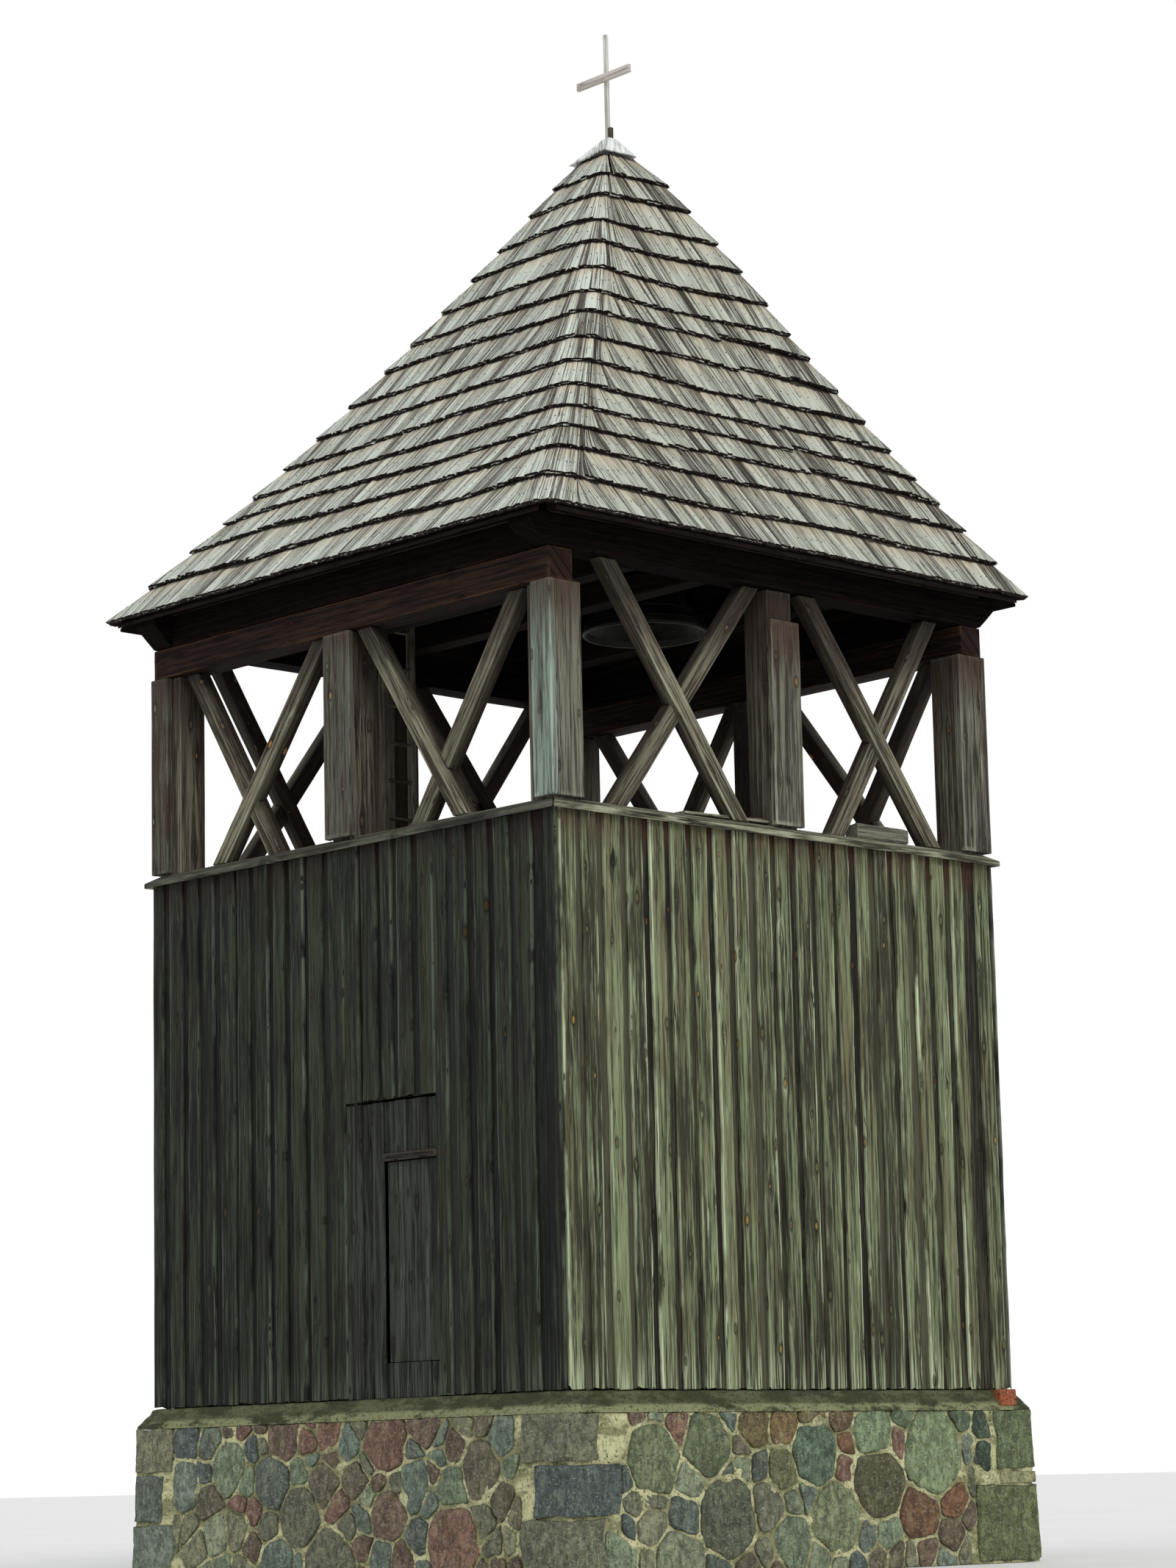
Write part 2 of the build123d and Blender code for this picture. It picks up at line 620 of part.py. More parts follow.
def slope_quarter(side, inset=0.0):
    """Everything over one slope, between its hips; inset keeps it clear of their middle."""
    apex = on_face(side, APEX_SHIFT)
    with BuildPart() as quarter:
        with BuildSketch(plan(side, 0)):
            with BuildLine():
                corners = [(apex[0] + 1.2 * (x - apex[0]), apex[1] - 1.2 * (EAVE_REACH + apex[1]))
                           for x in (-EAVE_REACH, EAVE_REACH)]
                Polyline(apex, *corners, close=True)
            make_face()
            if inset:
                offset(amount=-inset, kind=Kind.INTERSECTION)
        extrude(amount=SKY)
    return quarter.part


for side in SIDES:
    apex_out = -on_face(side, APEX_SHIFT)[1]
    with BuildPart() as slope:
        with BuildSketch(section(side)):
            add(sweep_face(EAVE_REACH, apex_out, 0, ROOF_PLUMB_DEPTH))
        extrude(amount=EAVE_REACH, both=True)
        add(slope_quarter(side), mode=Mode.INTERSECT)
        split(bisect_by=Plane.XY.offset(EAVE_LINE - EAVE_NOSE), keep=Keep.TOP)
        split(bisect_by=Plane.XY.offset(ROOF_HEAD), keep=Keep.BOTTOM)
    save(slope.part, f"roof_{side}")

# Mast under the apex, rafters against it
mast = block(
    Plane.XY.offset(ROOF_HEAD - MAST_LENGTH),
    (APEX_SHIFT[0] - MAST_SIZE / 2, APEX_SHIFT[0] + MAST_SIZE / 2),
    (APEX_SHIFT[1] - MAST_SIZE / 2, APEX_SHIFT[1] + MAST_SIZE / 2),
    MAST_LENGTH,
)
save(mast, "roof_mast")


def rafter(side, line):
    apex_out = -on_face(side, APEX_SHIFT)[1]
    with BuildPart() as piece:
        with BuildSketch(section(side).offset(-line - RAFTER_WIDTH / 2)):
            add(sweep_face(EAVE_REACH, apex_out, ROOF_PLUMB_DEPTH, ROOF_PLUMB_DEPTH + RAFTER_PLUMB_DEPTH))
        extrude(amount=RAFTER_WIDTH)
        add(slope_quarter(side, HIP_RAFTER_WIDTH / 2), mode=Mode.INTERSECT)
        split(bisect_by=Plane.XY.offset(TIE_TOP), keep=Keep.TOP)
        split(bisect_by=Plane.XY.offset(ROOF_HEAD), keep=Keep.BOTTOM)
        add(mast, mode=Mode.SUBTRACT)
    return piece.part


save(group(*[rafter(side, line) for side in SIDES for line in RAFTER_LINES]), "common_rafters")


def hip_rafter(corner_x, corner_y):
    apex = Vector(*APEX_SHIFT, 0)
    run = Vector(corner_x * EAVE_REACH, corner_y * EAVE_REACH, 0) - apex
    upright = Plane(origin=apex, x_dir=run, z_dir=run.cross(Vector(0, 0, 1)))
    top_drop = ROOF_PLUMB_DEPTH + HIP_RAFTER_DROP
    with BuildPart() as piece:
        with BuildSketch(upright):
            add(sweep_face(run.length, 0, top_drop, top_drop + RAFTER_PLUMB_DEPTH))
        extrude(amount=HIP_RAFTER_WIDTH / 2, both=True)
        split(bisect_by=Plane.XY.offset(TIE_TOP), keep=Keep.TOP)
        split(bisect_by=Plane.XY.offset(ROOF_HEAD), keep=Keep.BOTTOM)
        add(mast, mode=Mode.SUBTRACT)
    return piece.part


hips = [hip_rafter(x, y) for x, y in ((-1, -1), (1, -1), (1, 1), (-1, 1))]
save(group(*hips), "hip_rafters")


# Cap over the apex, and the cross on it
def level_square(height, grow=0.0):
    """Square in plan of the shingles at a height, grown on all sides."""
    reach = reach_at(height)
    share = 1 - reach / EAVE_REACH
    with BuildSketch(Plane.XY.offset(height), mode=Mode.PRIVATE) as square:
        with Locations((APEX_SHIFT[0] * share, APEX_SHIFT[1] * share)):
            Rectangle(2 * (reach + grow), 2 * (reach + grow))
    return square.sketch


with BuildPart() as roof_cap:
    with BuildSketch(Plane.XY.offset(APEX_LINE)):
        with Locations(APEX_SHIFT):
            Rectangle(CAP_TOP, CAP_TOP)
    add(level_square(CAP_LINE, CAP_LAP))
    loft(ruled=True)
    add(level_square(CAP_LINE))
    add(level_square(ROOF_HEAD))
    loft(ruled=True, mode=Mode.SUBTRACT)
save(roof_cap.part, "roof_cap")


def upright_at(centre, size, foot):
    span_x = (centre[0] - size[0] / 2, centre[0] + size[0] / 2)
    span_y = (centre[1] - size[1] / 2, centre[1] + size[1] / 2)
    return block(Plane.XY.offset(foot), span_x, span_y, size[2])


cross_centre = (APEX_SHIFT[0] - CROSS_POST[0] / 2, APEX_SHIFT[1])
save(upright_at(cross_centre, (*CROSS_POST, CROSS_RISE), APEX_LINE), "cross_upright")
bar_centre = (cross_centre[0], cross_centre[1] - CROSS_POST[1] / 2 - CROSS_BAR[1] / 2)
save(upright_at(bar_centre, CROSS_BAR, APEX_LINE + CROSS_BAR_RISE - CROSS_BAR[2] / 2), "cross_bar")
save(upright_at((APEX_SHIFT[0] + MAST_END[0] / 2, APEX_SHIFT[1]), MAST_END, APEX_LINE), "mast_end")

# Bell trestles on the bell beams, with a half-round bearing for each gudgeon
TRESTLE_HEIGHT = PIVOT_LINE - TIE_TOP
TRESTLE_HEAD = 110.0


def trestle(beam):
    middle = (beam[0] + beam[1]) / 2
    half = TRESTLE_SPREAD / 2
    inner_head = TRESTLE_HEIGHT - 2 * TRESTLE_LEG
    with BuildPart() as piece:
        with BuildSketch(Plane(origin=(BELL_CENTRE[0], middle, TIE_TOP), x_dir=(1, 0, 0), z_dir=(0, -1, 0))):
            with BuildLine():
                Polyline(
                    (-half, 0),
                    (half, 0),
                    (TRESTLE_HEAD, TRESTLE_HEIGHT),
                    (-TRESTLE_HEAD, TRESTLE_HEIGHT),
                    close=True,
                )
            make_face()
            lean = (half - TRESTLE_HEAD) / TRESTLE_HEIGHT
            window_foot = half - TRESTLE_LEG - lean * TRESTLE_LEG
            window_head = half - TRESTLE_LEG - lean * inner_head
            with BuildLine():
                Polyline(
                    (-window_foot, TRESTLE_LEG),
                    (window_foot, TRESTLE_LEG),
                    (window_head, inner_head),
                    (-window_head, inner_head),
                    close=True,
                )
            make_face(mode=Mode.SUBTRACT)
            with Locations((0, TRESTLE_HEIGHT)):
                Circle(GUDGEON_R + BEARING_FIT, mode=Mode.SUBTRACT)
        extrude(amount=TRESTLE_THICK / 2, both=True)
    return piece.part


save(group(trestle(FRONT_BEAM), trestle(BACK_BEAM)), "bell_trestles")

# Headstock and its gudgeons
stock_reach = BELL_BEAM_REACH + TIE_WIDTH / 2 - TRESTLE_THICK / 2 - HEADSTOCK_END_GAP
headstock = block(
    Plane.XY.offset(PIVOT_LINE - HEADSTOCK[1] / 2),
    (BELL_CENTRE[0] - HEADSTOCK[0] / 2, BELL_CENTRE[0] + HEADSTOCK[0] / 2),
    (BELL_CENTRE[1] - stock_reach, BELL_CENTRE[1] + stock_reach),
    HEADSTOCK[1],
)
save(headstock, "headstock")
gudgeons = []
for hand in (-1, 1):
    with BuildPart() as gudgeon:
        end = BELL_CENTRE[1] + hand * stock_reach
        with BuildSketch(Plane(origin=(BELL_CENTRE[0], end, PIVOT_LINE), z_dir=(0, hand, 0))):
            Circle(GUDGEON_R)
        extrude(amount=GUDGEON_LENGTH)
    gudgeons.append(gudgeon.part)
save(group(*gudgeons), "gudgeons")

# Bell: one casting with its canon, turned about its own axis.
# The profile runs from the lip up to the shoulder, as shares of the mouth radius and the height.
MOUTH = FOOT + BELL_MOUTH_LINE
BELL_PROFILE = ((1.0, 0.03), (0.97, 0.10), (0.78, 0.27), (0.64, 0.47), (0.56, 0.68), (0.52, 0.88), (0.36, 1.0))
bell_section = Plane(origin=(*BELL_CENTRE, MOUTH), x_dir=(1, 0, 0), z_dir=(0, -1, 0))
bell_axis = Axis((*BELL_CENTRE, MOUTH), (0, 0, 1))
outer_profile = [(BELL_MOUTH_R * r, BELL_HEIGHT * z) for r, z in BELL_PROFILE]
inner_profile = [(r - BELL_WALL, z - BELL_WALL / 3) for r, z in outer_profile[1:-1]]
crown = BELL_HEIGHT - BELL_WALL
with BuildPart() as bell:
    with BuildSketch(bell_section):
        with BuildLine():
            Polyline(
                (BELL_MOUTH_R - BELL_WALL, 0),
                *outer_profile,
                (0, BELL_HEIGHT),
                (0, crown),
                (outer_profile[-1][0] - BELL_WALL, crown),
                *reversed(inner_profile),
                close=True,
            )
        make_face()
    revolve(axis=bell_axis)
    with BuildSketch(Plane.XY.offset(MOUTH + BELL_HEIGHT)):
        with Locations(BELL_CENTRE):
            Rectangle(0.8 * HEADSTOCK[0], 1.2 * HEADSTOCK[0])
    extrude(amount=BELL_CANON_HEIGHT)
save(bell.part, "bell")

with BuildPart() as clapper:
    ball_line = BELL_HEIGHT * 0.12
    with BuildSketch(bell_section):
        with BuildLine():
            Polyline(
                (0, crown),
                (CLAPPER_ROD_R, crown),
                (CLAPPER_ROD_R, ball_line + 2 * CLAPPER_BALL_R),
                (CLAPPER_BALL_R, ball_line),
                (CLAPPER_ROD_R, ball_line - CLAPPER_BALL_R),
                (0, ball_line - CLAPPER_BALL_R),
                close=True,
            )
        make_face()
    revolve(axis=bell_axis)
save(clapper.part, "clapper")

# Ladder up to the bell beams
LADDER_FOOT = FOOT + FLOOR_THICK
LADDER_HEAD = TIE_TOP + RUNG_STEP
rails = []
for near in (LADDER_SIDE_Y, LADDER_SIDE_Y + LADDER_WIDTH - RAIL_SECTION[0]):
    rail_x = (LADDER_FACE_X - RAIL_SECTION[1] / 2, LADDER_FACE_X + RAIL_SECTION[1] / 2)
    rails.append(
        block(Plane.XY.offset(LADDER_FOOT), rail_x, (near, near + RAIL_SECTION[0]), LADDER_HEAD - LADDER_FOOT)
    )
save(group(*rails), "ladder_rails")

rungs = []
for step in range(1, int((LADDER_HEAD - LADDER_FOOT) / RUNG_STEP)):
    rung_start = (LADDER_FACE_X, LADDER_SIDE_Y + RAIL_SECTION[0], LADDER_FOOT + step * RUNG_STEP)
    with BuildPart() as rung:
        with BuildSketch(Plane(origin=rung_start, z_dir=(0, 1, 0))):
            RegularPolygon(RUNG_R, 8)
        extrude(amount=LADDER_WIDTH - 2 * RAIL_SECTION[0])
    rungs.append(rung.part)
save(group(*rungs), "ladder_rungs")
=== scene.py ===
from math import ceil, cos, hypot, pi, radians, sin, sqrt

import bmesh
import bpy
import numpy as np
from mathutils import Matrix, Vector, noise


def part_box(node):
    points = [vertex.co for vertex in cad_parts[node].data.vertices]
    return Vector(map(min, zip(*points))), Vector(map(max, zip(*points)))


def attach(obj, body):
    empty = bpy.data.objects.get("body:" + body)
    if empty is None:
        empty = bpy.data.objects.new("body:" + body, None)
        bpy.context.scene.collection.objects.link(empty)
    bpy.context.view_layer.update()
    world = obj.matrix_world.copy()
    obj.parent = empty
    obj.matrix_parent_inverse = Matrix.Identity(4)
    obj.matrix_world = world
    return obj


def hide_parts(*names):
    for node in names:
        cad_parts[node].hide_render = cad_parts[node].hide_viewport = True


# Timber bell tower: board walls, shingled roof and rubble plinth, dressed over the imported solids.
# Metres, +Z up, the door in the front (-Y) face.

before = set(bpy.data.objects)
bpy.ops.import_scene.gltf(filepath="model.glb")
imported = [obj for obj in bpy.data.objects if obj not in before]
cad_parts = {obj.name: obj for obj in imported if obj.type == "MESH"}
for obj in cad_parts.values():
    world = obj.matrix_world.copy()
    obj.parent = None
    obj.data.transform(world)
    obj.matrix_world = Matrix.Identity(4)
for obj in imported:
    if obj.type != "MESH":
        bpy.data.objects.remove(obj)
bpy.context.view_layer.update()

# Places read from the frame
WALL_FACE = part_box("front_wall_right")[1].x
FRAME_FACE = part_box("right_wall")[1].y
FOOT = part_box("front_wall_left")[0].z
WALL_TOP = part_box("front_wall_left")[1].z
DOORWAY = (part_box("front_wall_left")[1].x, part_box("front_wall_right")[0].x)
DOORWAY_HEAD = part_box("front_wall_over_door")[0].z
EAVE_REACH = -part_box("roof_front")[0].y
EAVE_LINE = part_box("roof_front")[0].z + 0.03
ROOF_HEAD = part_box("roof_front")[1].z
APEX_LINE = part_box("roof_cap")[1].z
APEX_SHIFT = tuple((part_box("roof_mast")[0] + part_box("roof_mast")[1]).xy / 2)
PLINTH_FOOT_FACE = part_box("stone_plinth")[1].x
SHOULDER_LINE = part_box("stone_plinth")[1].z
PLATE_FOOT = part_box("lower_plates")[0].z

# Wall boards
BOARD_THICK = 0.025
BOARD_PITCH = 0.207
RAISED_WIDTH = (0.118, 0.168)
BOARD_WANDER = 0.0038
BOARD_LAP = 0.03              # of a raised board over the one behind it
BOARD_STEP = 0.09
BOARD_CUP = 0.002
FOOT_RAGGED = 0.012
RAISED_TONES = 0.24           # how much boards differ in tone
BACK_TONES = 0.20
SHELTER_DROP = 0.30           # brown under the ledge, and pale frayed ends at the foot
FOOT_RISE = 0.32
FOOT_BLEACH = 0.85
KNOTS_ACROSS = 7.0            # places for a knot to a metre of wood
KNOTS_ALONG = 1.7

# Roof: the sweep of the slopes, as the frame has it
SWEEP_CUT = 0.153
SWEEP_SHARE = 0.776
SWEEP_RISE = APEX_LINE - EAVE_LINE + SWEEP_CUT
ROOF_PLUMB_DEPTH = 0.12
BUTT_LINES = (
    0.0, 0.26, 0.534, 0.745, 0.945, 1.165, 1.404, 1.653, 1.918, 2.125, 2.379, 2.643, 2.87, 3.14, 3.36)
FAN_REACH = 0.42
# Roundness of the hip at the far end of each side: the near hip is turned with fanned shingles
HIP_RADIUS = {"front": 0.17, "right": 0.04, "back": 0.05, "left": 0.05}
FANNED_HIP = "front"
# The hip between right and back stands out from the frame's even slopes, most at these rises
HIP_SWELL_RISES = (0.0, 0.4, 0.9, 1.5, 2.0, 2.6, 3.1, 3.36, 3.6)
HIP_SWELL = (0.0, 0.045, 0.075, 0.105, 0.110, 0.150, 0.120, 0.095, 0.030)
HIP_SWELL_REACH = 1.0
SHINGLE_WIDTH = (0.040, 0.098)
BUTT_THICK = 0.018
TIP_THICK = 0.004
SHINGLE_LIE = 0.048           # how far a shingle sinks under the next course
BUTT_SINK = -0.010            # butts stand out of the frame's even slope, but not at the eave
EAVE_SINK = 0.004
SHINGLE_TUCK = 0.12
ROOF_BOARD_WIDTH = 0.17
HIP_OPENING = 0.085           # the boards under the shingles stop this short of a hip
# Seam in the right slope where two stretches of shingles meet a little out of line
SEAM_COURSES = (3, 8)
SEAM_START = 2.40
SEAM_STEP = -0.224
SEAM_LIFT = 0.042

# Cap: its corners with the rise of their feet over the eave, and the joints of its boards
CAP_CORNERS = ((-1, -1, 3.545), (1, -1, 3.600), (1, 1, 3.600), (-1, 1, 3.550))
CAP_LAP = 0.012
CAP_THICK = 0.022
CAP_JOINTS = (0.0, 0.52, 1.0)

# Stonework
PLINTH_TOP_FACE = 2.347
STONE_JOINT = 0.0105
STONE_GRID = 0.032

# Camera at the photograph's place
CAMERA_PLACE = (21.594, -20.196, 0.661)
CAMERA_TURN = radians(46.633)
CAMERA_PITCH = radians(9.9965)
CAMERA_ROLL = radians(-1.270)
CAMERA_LENS = 90.63
LONG_SIDE = 36.0

# Floor and light
FLOOR_REACH = 400.0
FLOOR_TINTS = ((0.84, 0.84, 0.83), (0.87, 0.87, 0.86))
SKY_TINT = (0.97, 0.985, 1.0, 1)
SKY_STRENGTH = 0.72
SUN_STRENGTH = 1.1
SUN_SIZE = radians(25)
SUN_TINT = (1.0, 0.98, 0.94)
SUN_PLACE = (0.80, -0.42, 0.62)


# Helpers

def smooth(low, high, x):
    """0 under low, 1 over high, and an even turn between them."""
    t = np.clip((x - low) / (high - low), 0, 1)
    return t * t * (3 - 2 * t)


def lumps(x, y, z):
    """Smooth noise between -1 and 1, about one lump to a unit."""
    return noise.noise(Vector((x, y, z)))


def turns(count):
    """Cosine and sine of the angles that part a circle evenly."""
    return [(cos(2 * pi * k / count), sin(2 * pi * k / count)) for k in range(count)]


def any_tone(rng, spread, middle=0.5):
    return np.clip(rng.normal(middle, spread), 0, 1)


def wander(rng, places, step, size):
    """Offsets of a smooth random line at these places, with its bends about a step apart."""
    first = places.min() - step
    count = int((places.max() - first) / step) + 3
    knots = rng.normal(0, size, count)
    at = (places - first) / step
    index = np.floor(at).astype(int)
    part = at - index
    part = part * part * (3 - 2 * part)
    return knots[index] * (1 - part) + knots[index + 1] * part


class Heap:
    """Many small solids gathered into one mesh, with what the material reads at each point."""

    def __init__(self):
        self.points = []
        self.faces = []
        self.grain = []
        self.look = []
        self.count = 0

    def add(self, points, faces, grain, look):
        self.points.append(points)
        self.grain.append(grain)
        self.look.append(look)
        self.faces.extend([tuple(i + self.count for i in face) for face in faces])
        self.count += len(points)

    def piece(self, name, material, slot, nodes=(), body="tower"):
        mesh = bpy.data.meshes.new(name)
        points = np.concatenate(self.points)
        mesh.from_pydata(points.tolist(), [], self.faces)
        write_attributes(mesh, np.concatenate(self.grain), np.concatenate(self.look))
        return settle(bpy.data.objects.new(name, mesh), material, slot, nodes, body)


def write_attributes(mesh, grain, look):
    attribute = mesh.attributes.new("grain", "FLOAT_VECTOR", "POINT")
    attribute.data.foreach_set("vector", np.ascontiguousarray(grain, np.float32).ravel())
    attribute = mesh.attributes.new("look", "FLOAT_COLOR", "POINT")
    attribute.data.foreach_set("color", np.ascontiguousarray(look, np.float32).ravel())


def settle(obj, material, slot, nodes, body):
    """Links a new piece, gives it its material, and lets it ride and stand for its nodes."""
    bpy.context.scene.collection.objects.link(obj)
    obj.data.materials.append(material)
    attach(obj, body)
    if nodes:
        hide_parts(*nodes)
    return obj


SIDES = ("front", "right", "back", "left")


def side_ways(side):
    """Directions of a face of the tower: out of it, and along it."""
    turn = pi / 2 * SIDES.index(side)
    return np.array((sin(turn), -cos(turn), 0.0)), np.array((cos(turn), sin(turn), 0.0))


class Place:
    """A line on a face of the tower to measure from: across along the face, out of it, and up."""

    def __init__(self, side, distance, height):
        self.out, self.across = side_ways(side)
        self.origin = self.out * distance + np.array((0, 0, height))

    def points(self, local):
        return self.origin + local @ np.array([self.across, self.out, (0, 0, 1)])


def tube_faces(rings, count, inside_out=False, ends=True, closed=False):
    """Faces between rings of as many points each, and the two end faces."""
    faces = []
    for i in range(rings if closed else rings - 1):
        a, b = i * count, (i + 1) % rings * count
        for j in range(count):
            k = (j + 1) % count
            faces.append((a + j, a + k, b + k, b + j))
    if ends:
        faces.append(tuple(reversed(range(count))))
        faces.append(tuple(range((rings - 1) * count, rings * count)))
    if inside_out:
        faces = [face[:1] + face[:0:-1] for face in faces]
    return faces


def somewhere(rng):
    """A random start of the grain, so that no two pieces look alike."""
    return rng.uniform(0, 40, 3)


def same_look(points, *numbers):
    """What the material reads, the same at all the points."""
    return np.tile(numbers, (len(points), 1))


def add_plain(heap, points, faces):
    """Adds a mesh whose grain is its place and whose look is the same all over."""
    points = np.array(points)
    heap.add(points, faces, points.copy(), same_look(points, 0.5, 0, 0, 0))


# Materials

class Value:
    """A number that a node gives, to reckon with like any other number."""

    def __init__(self, recipe, socket):
        self.recipe = recipe
        self.socket = socket

    def __add__(self, other):
        return self.recipe.calc("ADD", self, other)

    def __sub__(self, other):
        return self.recipe.calc("SUBTRACT", self, other)

    def __rsub__(self, other):
        return self.recipe.calc("SUBTRACT", other, self)

    def __mul__(self, other):
        return self.recipe.calc("MULTIPLY", self, other)

    def __truediv__(self, other):
        return self.recipe.calc("DIVIDE", self, other)


class Recipe:
    """A node material, put together from short calls, with its colour so far."""

    def __init__(self, name):
        self.material = bpy.data.materials.new(name)
        self.material.use_nodes = True
        self.tree = self.material.node_tree
        self.shader = self.tree.nodes["Principled BSDF"]
        self.colour = None

    def node(self, kind, **settings):
        made = self.tree.nodes.new(kind)
        for name, value in settings.items():
            setattr(made, name, value)
        return made

    def feed(self, socket, value):
        if isinstance(value, Value):
            value = value.socket
        if isinstance(value, bpy.types.NodeSocket):
            self.tree.links.new(value, socket)
        else:
            socket.default_value = value

    def calc(self, operation, first, second=0.0, clamp=False):
        made = self.node("ShaderNodeMath", operation=operation, use_clamp=clamp)
        self.feed(made.inputs[0], first)
        self.feed(made.inputs[1], second)
        return Value(self, made.outputs[0])

    def remap(self, value, low, high, to_low=0.0, to_high=1.0):
        made = self.node("ShaderNodeMapRange", interpolation_type="SMOOTHSTEP")
        for socket, given in zip(made.inputs, (value, low, high, to_low, to_high)):
            self.feed(socket, given)
        return Value(self, made.outputs[0])

    def mix(self, share, first, second, blend="MIX"):
        made = self.node("ShaderNodeMix", data_type="RGBA", blend_type=blend)
        self.feed(made.inputs[0], share)
        for socket, given in ((made.inputs[6], first), (made.inputs[7], second)):
            self.feed(socket, (*given, 1.0) if isinstance(given, tuple) else given)
        return made.outputs[2]

    def paint(self, share, colour):
        """Lays a share of a colour over the colour so far."""
        self.colour = self.mix(share, self.colour, colour)

    def split(self, value, kind="XYZ"):
        """The three parts of a vector, or of a colour."""
        made = self.node(f"ShaderNodeSeparate{kind}")
        self.feed(made.inputs[0], value)
        return [Value(self, socket) for socket in made.outputs]

    def join(self, x, y, z=0.0):
        made = self.node("ShaderNodeCombineXYZ")
        for socket, given in zip(made.inputs, (x, y, z)):
            self.feed(socket, given)
        return made.outputs[0]

    def carried(self):
        """What the mesh carries at each point: the grain, a colour or three numbers, and one more number."""
        grain = self.node("ShaderNodeAttribute", attribute_name="grain").outputs["Vector"]
        look = self.node("ShaderNodeAttribute", attribute_name="look")
        return grain, look.outputs["Color"], Value(self, look.outputs["Alpha"])

    def stretch(self, vector, scale):
        made = self.node("ShaderNodeVectorMath", operation="MULTIPLY")
        self.feed(made.inputs[0], vector)
        made.inputs[1].default_value = scale if isinstance(scale, tuple) else (scale,) * 3
        return made.outputs[0]

    def noise(self, vector, detail=3.0, roughness=0.55, distortion=0.0):
        made = self.node("ShaderNodeTexNoise")
        self.feed(made.inputs["Vector"], vector)
        settings = {"Scale": 1.0, "Detail": detail, "Roughness": roughness, "Distortion": distortion}
        for name, value in settings.items():
            made.inputs[name].default_value = value
        return Value(self, made.outputs["Fac"])

    def cloud(self, vector, scale, **settings):
        return self.noise(self.stretch(vector, scale), **settings)

    def cells(self, vector, **settings):
        """A pattern of cells: distance from a cell's middle, three numbers of the cell, and its middle."""
        made = self.node("ShaderNodeTexVoronoi", feature="F1", **settings)
        self.feed(made.inputs["Vector"], vector)
        made.inputs["Scale"].default_value = 1.0
        return (Value(self, made.outputs["Distance"]), self.split(made.outputs["Color"], "Color"),
                self.split(made.outputs["Position"]))

    def length(self, x, y, squash):
        """Length of a flat vector with its second number squashed."""
        up = y * squash
        return self.calc("SQRT", x * x + up * up)

    def bent_grain(self, grain, show_from):
        """Grain that parts round scattered knots: across, along, distance, pull and numbers of the knot."""
        x, y, along = self.split(grain)
        across = x + y
        flat = self.join(across * KNOTS_ACROSS, along * KNOTS_ALONG)
        _, (number, ripe, wide), middle = self.cells(flat, voronoi_dimensions="2D")
        aside = across - middle[0] / KNOTS_ACROSS
        above = along - middle[1] / KNOTS_ALONG
        shown = self.calc("GREATER_THAN", number, show_from)
        pull = shown * self.remap(self.length(aside, above, 0.3), 0.008, 0.055, 0.85, 0.0)
        distance = self.length(aside, above, 0.45) + (1.0 - shown)
        return across - pull * aside, along, distance, pull, ripe, wide

    def finish(self, roughness, height=None, relief=0.0, **constants):
        """Feeds the shader, with bumps this deep from a height."""
        self.feed(self.shader.inputs["Base Color"], self.colour)
        self.feed(self.shader.inputs["Roughness"], roughness)
        if height is not None:
            bump = self.node("ShaderNodeBump")
            bump.inputs["Distance"].default_value = relief
            self.feed(bump.inputs["Height"], height)
            self.feed(self.shader.inputs["Normal"], bump.outputs["Normal"])
        for name, value in constants.items():
            self.shader.inputs[name.replace("_", " ")].default_value = value
        return self.material


def tinted(colour, *factors):
    """A colour with its parts times one factor, or times three."""
    return tuple(part * factor for part, factor in zip(colour, factors * 3))


